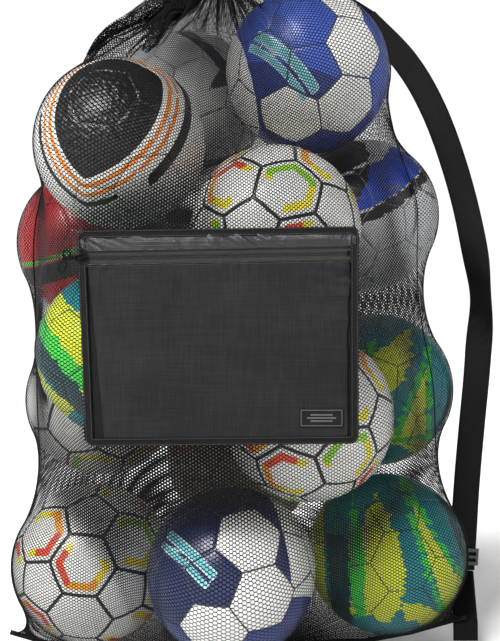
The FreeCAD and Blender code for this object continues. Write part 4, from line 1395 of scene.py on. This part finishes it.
def coil(name, side, length, material):
    """One half of a coil zip: a flattened helix of stiff nylon wire."""
    first, last = 1.0 * MM, length - 8.0 * MM
    count = int((last - first) / COIL_PITCH) * COIL_STEPS
    a = 2 * math.pi * np.arange(count) / COIL_STEPS + (math.pi if side > 0 else 0)
    line = zip_line(side * COIL_WIDE, ZIP_Y, first, last, count)
    line[:, 1] += -0.2 * MM + COIL_DEEP * np.sin(a)
    line[:, 2] += COIL_WIDE * np.cos(a)
    return tube(name, line, COIL_WIRE, material, sides=5)


LABEL_THICK = 2.1 * MM
# The height of each ridge from the label's middle, and its length, in mm.
LABEL_RIDGES = ((3.6, 26.0), (0.0, 34.0), (-3.6, 26.0))


def plate(name, centre, size, back, front, corner, bevel, material):
    """A thin moulded plate facing the front, with round corners and a soft edge."""
    outline = []
    half_x, half_z = size[0] / 2 - corner, size[1] / 2 - corner
    for k, (sx, sz) in enumerate(((1, 1), (-1, 1), (-1, -1), (1, -1))):
        for a in np.linspace(0, math.pi / 2, 6):
            turn = a + k * math.pi / 2
            outline.append((sx * half_x + corner * math.cos(turn), sz * half_z + corner * math.sin(turn)))
    outline = np.array(outline)
    rings = []
    for y, inset in ((back, 0.0), (front + bevel, 0.0), (front + bevel * 0.3, bevel * 0.3), (front, bevel)):
        x, z = (outline * (1 - 2 * inset / np.array(size))).T
        rings.append(np.stack([x + centre[0], y + 0 * x, z + centre[1]], axis=1))
    piece = loft(name, np.array(rings), material)
    piece.data.polygons.foreach_set("use_smooth", [False] * len(piece.data.polygons))
    return piece


def make_label(black, grey):
    """A moulded badge with a raised border and three plain ridges, and no mark."""
    low, high = (np.array(c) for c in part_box("label_patch"))
    centre = np.array([(low[0] + high[0]) / 2, (low[2] + high[2]) / 2])
    size = np.array([high[0] - low[0], high[2] - low[2]])
    front = POCKET_FRONT - LABEL_THICK
    sunk = front + 0.2 * MM
    base = plate("label_base", centre, size, POCKET_FRONT + 0.4 * MM, front, 1.6 * MM, 0.4 * MM, black)
    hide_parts("label_patch")
    for k, (dx, dz, w, h) in enumerate(((0, 0.5, 1, 0), (0, -0.5, 1, 0), (0.5, 0, 0, 1), (-0.5, 0, 0, 1))):
        at = centre + (size - 3.4 * MM) * (dx, dz)
        bar = (size[0] - 2.4 * MM if w else 0.9 * MM, size[1] - 2.4 * MM if h else 0.9 * MM)
        plate("label_border_%d" % (k + 1), at, bar, sunk, front - 0.35 * MM, 0.4 * MM, 0.15 * MM, grey)
    for k, (dz, w) in enumerate(LABEL_RIDGES):
        at = centre + np.array([0, dz * MM])
        bar = (w * MM, 1.7 * MM)
        plate("label_ridge_%d" % (k + 1), at, bar, sunk, front - 0.4 * MM, 0.8 * MM, 0.2 * MM, grey)


# ---- strap ---------------------------------------------------------------------------------------
STRAP_Y = 0.093
# The strap twists once on its way: how far, at what height and over what half height.
TWIST, TWIST_HEIGHT, TWIST_REACH = math.radians(48), 0.492, 0.065
STRAP_WIDE, TAB_WIDE = 38 * MM, 34 * MM
STRAP_FOOT = (0.3015, 0.092)
STRAP_HEAD = (0.1615, 0.893)
STRAP_ROUTE = [STRAP_FOOT, (0.3085, 0.205), (0.3165, 0.300), (0.3255, 0.400), (0.3295, 0.490),
               (0.3145, 0.590), (0.2915, 0.680), (0.2595, 0.765), (0.2195, 0.833), STRAP_HEAD]
# The upper run starts here at the neck, as (x, y), and drops as (distance, z) towards the strap's head.
RUN_START = np.array([-0.0175, 0.0006])
RUN_DROP = [(0.0, 0.933), (0.060, 0.931), (0.120, 0.921), (0.170, 0.905), (0.2009, 0.893), (0.2150, 0.8868)]
TAB_PATH = [(0.2905, 0.0027, 0.014), (0.2905, 0.0027, 0.028), (0.2907, 0.0060, 0.040), (0.2945, 0.038, 0.061),
            (0.3000, 0.080, 0.0850), (0.3013, 0.0905, 0.0915)]


def make_strap(webbing):
    """The shoulder strap, which twists once, its upper run to the neck and its corner tab."""
    path = smooth_line([(x, STRAP_Y, z) for x, z in STRAP_ROUTE], 260)
    path[:, 1] += 0.6 * MM * np.sin(path[:, 2] * 31)
    turn = TWIST * bump_at(path[:, 2], TWIST_HEIGHT, TWIST_REACH)
    facing = np.stack([np.sin(turn), np.cos(turn), 0 * turn], axis=1)
    tangent = unit(np.gradient(path, axis=0))
    wide = np.cross(tangent, facing)
    piece = ribbon("strap_webbing", path, wide, STRAP_WIDE, WEB, webbing, body="strap", strands=14)
    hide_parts("shoulder_strap")
    way = np.array([STRAP_HEAD[0] - RUN_START[0], STRAP_Y - RUN_START[1]])
    way = way / np.linalg.norm(way)
    run = [(RUN_START[0] + way[0] * s, RUN_START[1] + way[1] * s, z) for s, z in RUN_DROP]
    path = smooth_line(run, 120)
    across = np.cross(unit(np.gradient(path, axis=0)), (-way[1], way[0], 0))
    piece = ribbon("strap_upper_webbing", path, across, STRAP_WIDE, WEB, webbing, body=None, strands=14)
    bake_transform(piece)
    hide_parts("strap_upper_run")
    box_stitch("run", path, across, 0.004, 0.030, (-way[1], way[0], 0))
    path = smooth_line(TAB_PATH, 90)
    piece = ribbon("strap_corner_webbing", path, (1, 0, 0), TAB_WIDE, WEB, webbing, body=None, strands=14)
    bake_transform(piece)
    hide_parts("strap_corner_tab")


def box_stitch(name, path, wide, first, last, facing):
    """A sewn rectangle with a cross, where webbing is fixed."""
    run = run_along(path)
    wide = unit(wide)

    def at(s, w):
        """The place s along the webbing and w across it."""
        place = [np.interp(s, run, path[:, k]) for k in range(3)]
        across = [np.interp(s, run, wide[:, k]) for k in range(3)]
        return np.array(place) + np.array(across) * w

    half = STRAP_WIDE / 2 - 3.5 * MM
    corners = [(first, -half), (last, -half), (last, half), (first, half)]
    corners += [(first, -half), (last, half), (last, -half), (first, half)]
    facing = np.array(facing, dtype=float)
    for side in (-1, 1):
        line = []
        for (s0, w0), (s1, w1) in zip(corners, corners[1:]):
            for t in np.linspace(0, 1, 12, endpoint=False):
                line.append(at(s0 + (s1 - s0) * t, w0 + (w1 - w0) * t))
        line = np.array(line) + facing * side * 1.05 * MM
        stitches("%s_stitch_%s" % (name, "front" if side < 0 else "back"), line, facing * side)


def dress(node, material):
    """Give a carried-over CAD node its own material."""
    obj = bpy.data.objects[node]
    if not obj.material_slots:
        obj.data.materials.append(material)
    for slot in obj.material_slots:
        slot.material = material


# ---- light and floor -----------------------------------------------------------------------------


def make_stage():
    """A pale matte floor."""
    n = Nodes("floor")
    n.principled(Base_Color=(0.94, 0.94, 0.935), Roughness=n.ramp(n.noise(3.0), 0.3, 0.7, 0.75, 0.85))
    size = 14.0
    points = [(x, y, 0.0) for x in (-size, size) for y in (-size, size)]
    floor = new_object("floor", points, [[0, 2, 3, 1]], n.material, body=None)


def toward(way):
    """The Euler turn of a lamp that shines along way."""
    return Vector(way).to_track_quat("-Z", "Y").to_euler()


def area_light(name, place, aim, size, power):
    """A soft box at a place, turned to aim."""
    data = bpy.data.lights.new(name, "AREA")
    data.shape = "RECTANGLE"
    data.size, data.size_y = size
    data.energy = power
    place_object(data, place, toward(Vector(aim) - Vector(place)))


SUN_POWER, SUN_ANGLE = 4.7, math.radians(24)
# The room's brightness falls from the third to the fourth value between these heights of view.
ROOM_FADE = (0.28, 0.62, 1.04, 0.24)


def make_lights():
    """A white room that is brightest at eye level, a broad key from the upper left and two soft boxes."""
    world = bpy.data.worlds.new("studio")
    bpy.context.scene.world = world
    world.use_nodes = True
    tree = world.node_tree
    place = tree.nodes.new("ShaderNodeTexCoord")
    split = tree.nodes.new("ShaderNodeSeparateXYZ")
    fade = tree.nodes.new("ShaderNodeMapRange")
    fade.interpolation_type = "SMOOTHSTEP"
    for socket, value in zip(fade.inputs[1:5], ROOM_FADE):
        socket.default_value = value
    tree.links.new(place.outputs["Generated"], split.inputs[0])
    tree.links.new(split.outputs[2], fade.inputs[0])
    tree.links.new(fade.outputs[0], tree.nodes["Background"].inputs[1])
    tree.nodes["Background"].inputs[0].default_value = (1, 1, 1, 1)
    sun = bpy.data.lights.new("key", "SUN")
    sun.energy = SUN_POWER
    sun.angle = SUN_ANGLE
    place_object(sun, (0, 0, 0), toward((0.55, 0.85, -0.95)))
    area_light("left_box", (-1.5, -1.4, 1.7), (0, 0, 0.5), (0.9, 0.9), 16)
    area_light("right_box", (1.6, -1.0, 1.5), (0.1, 0, 0.5), (0.7, 1.2), 9)
    bpy.context.scene.view_settings.view_transform = "Standard"


THREAD = thread_material()
make_camera()
make_stage()
make_lights()
make_balls()
TAPE = woven_material("tape", (0.0012, 0.0012, 0.0014), (0.0055, 0.0055, 0.006), rib=1.5, across=1.3,
                      half_width=4.6, border=1.4, shine=0.12)
SEAM_TAPE = woven_material("seam_tape", (0.0012, 0.0012, 0.0014), (0.005, 0.005, 0.0055), rib=1.2,
                           half_width=2.5, border=0.8, shine=0.1)
ZIP_TAPE = woven_material("zip_tape", (0.012, 0.0132, 0.0105), (0.034, 0.036, 0.029), rib=1.0, across=2.4,
                          half_width=5.5, border=1.0, depth=0.8)
WEBBING = woven_material("webbing", (0.0012, 0.0012, 0.0015), (0.0045, 0.0046, 0.0055), rib=1.6, across=1.4,
                         half_width=19.0, border=2.6, rough=0.36, depth=0.7, shine=0.07)
HEM = ripstop_material("hem", 0.34, 0.25, (0.002, 0.002, 0.0023), (0.006, 0.006, 0.0066))
RIPSTOP = ripstop_material("ripstop", 0.5, 0.16, (0.0035, 0.0035, 0.0036), (0.0145, 0.0143, 0.0145), 0.9)
SHINY = ripstop_material("ripstop_shiny", 0.27, 0.5, (0.0035, 0.0035, 0.0038), (0.010, 0.010, 0.0105),
                         0.3, 26.0, 1.0)
# A darker copy of the pocket's ripstop, as painted shade: it stands for the shadow on the recessed pleats,
# the gusset walls and the lining inside the pocket.
SHADED_RIPSTOP = ripstop_material("ripstop_dark", 0.5, 0.12, (0.0015, 0.0015, 0.0017), (0.005, 0.005, 0.0054))
NET = make_net()
make_seams(NET, SEAM_TAPE)
make_hem(HEM)
make_pocket(TAPE, RIPSTOP, SHINY, SHADED_RIPSTOP)
make_zip(ZIP_TAPE, plastic_material("coil", (0.014, 0.015, 0.014), 0.38))
make_label(rubber_material("label_black", (0.0015, 0.0015, 0.0017)),
           rubber_material("label_grey", (0.05, 0.05, 0.051)))
make_strap(WEBBING)

BLACK_METAL = metal_material("black_nickel", (0.012, 0.0125, 0.014), 0.13)
for node in ("zip_slider", "zip_stops", "zip_pull_link", "zip_pull_grip"):
    dress(node, BLACK_METAL)
dress("hem_eyelets", metal_material("dark_nickel", (0.20, 0.20, 0.21), 0.3))
dress("strap_adjuster", plastic_material("acetal", (0.012, 0.014, 0.016), 0.34))
dress("drawcord_loop", cord_material())
RUBBER = rubber_material("butyl", (0.02, 0.02, 0.02))
for node in ("ball_bladders", "ball_valves"):
    dress(node, RUBBER)
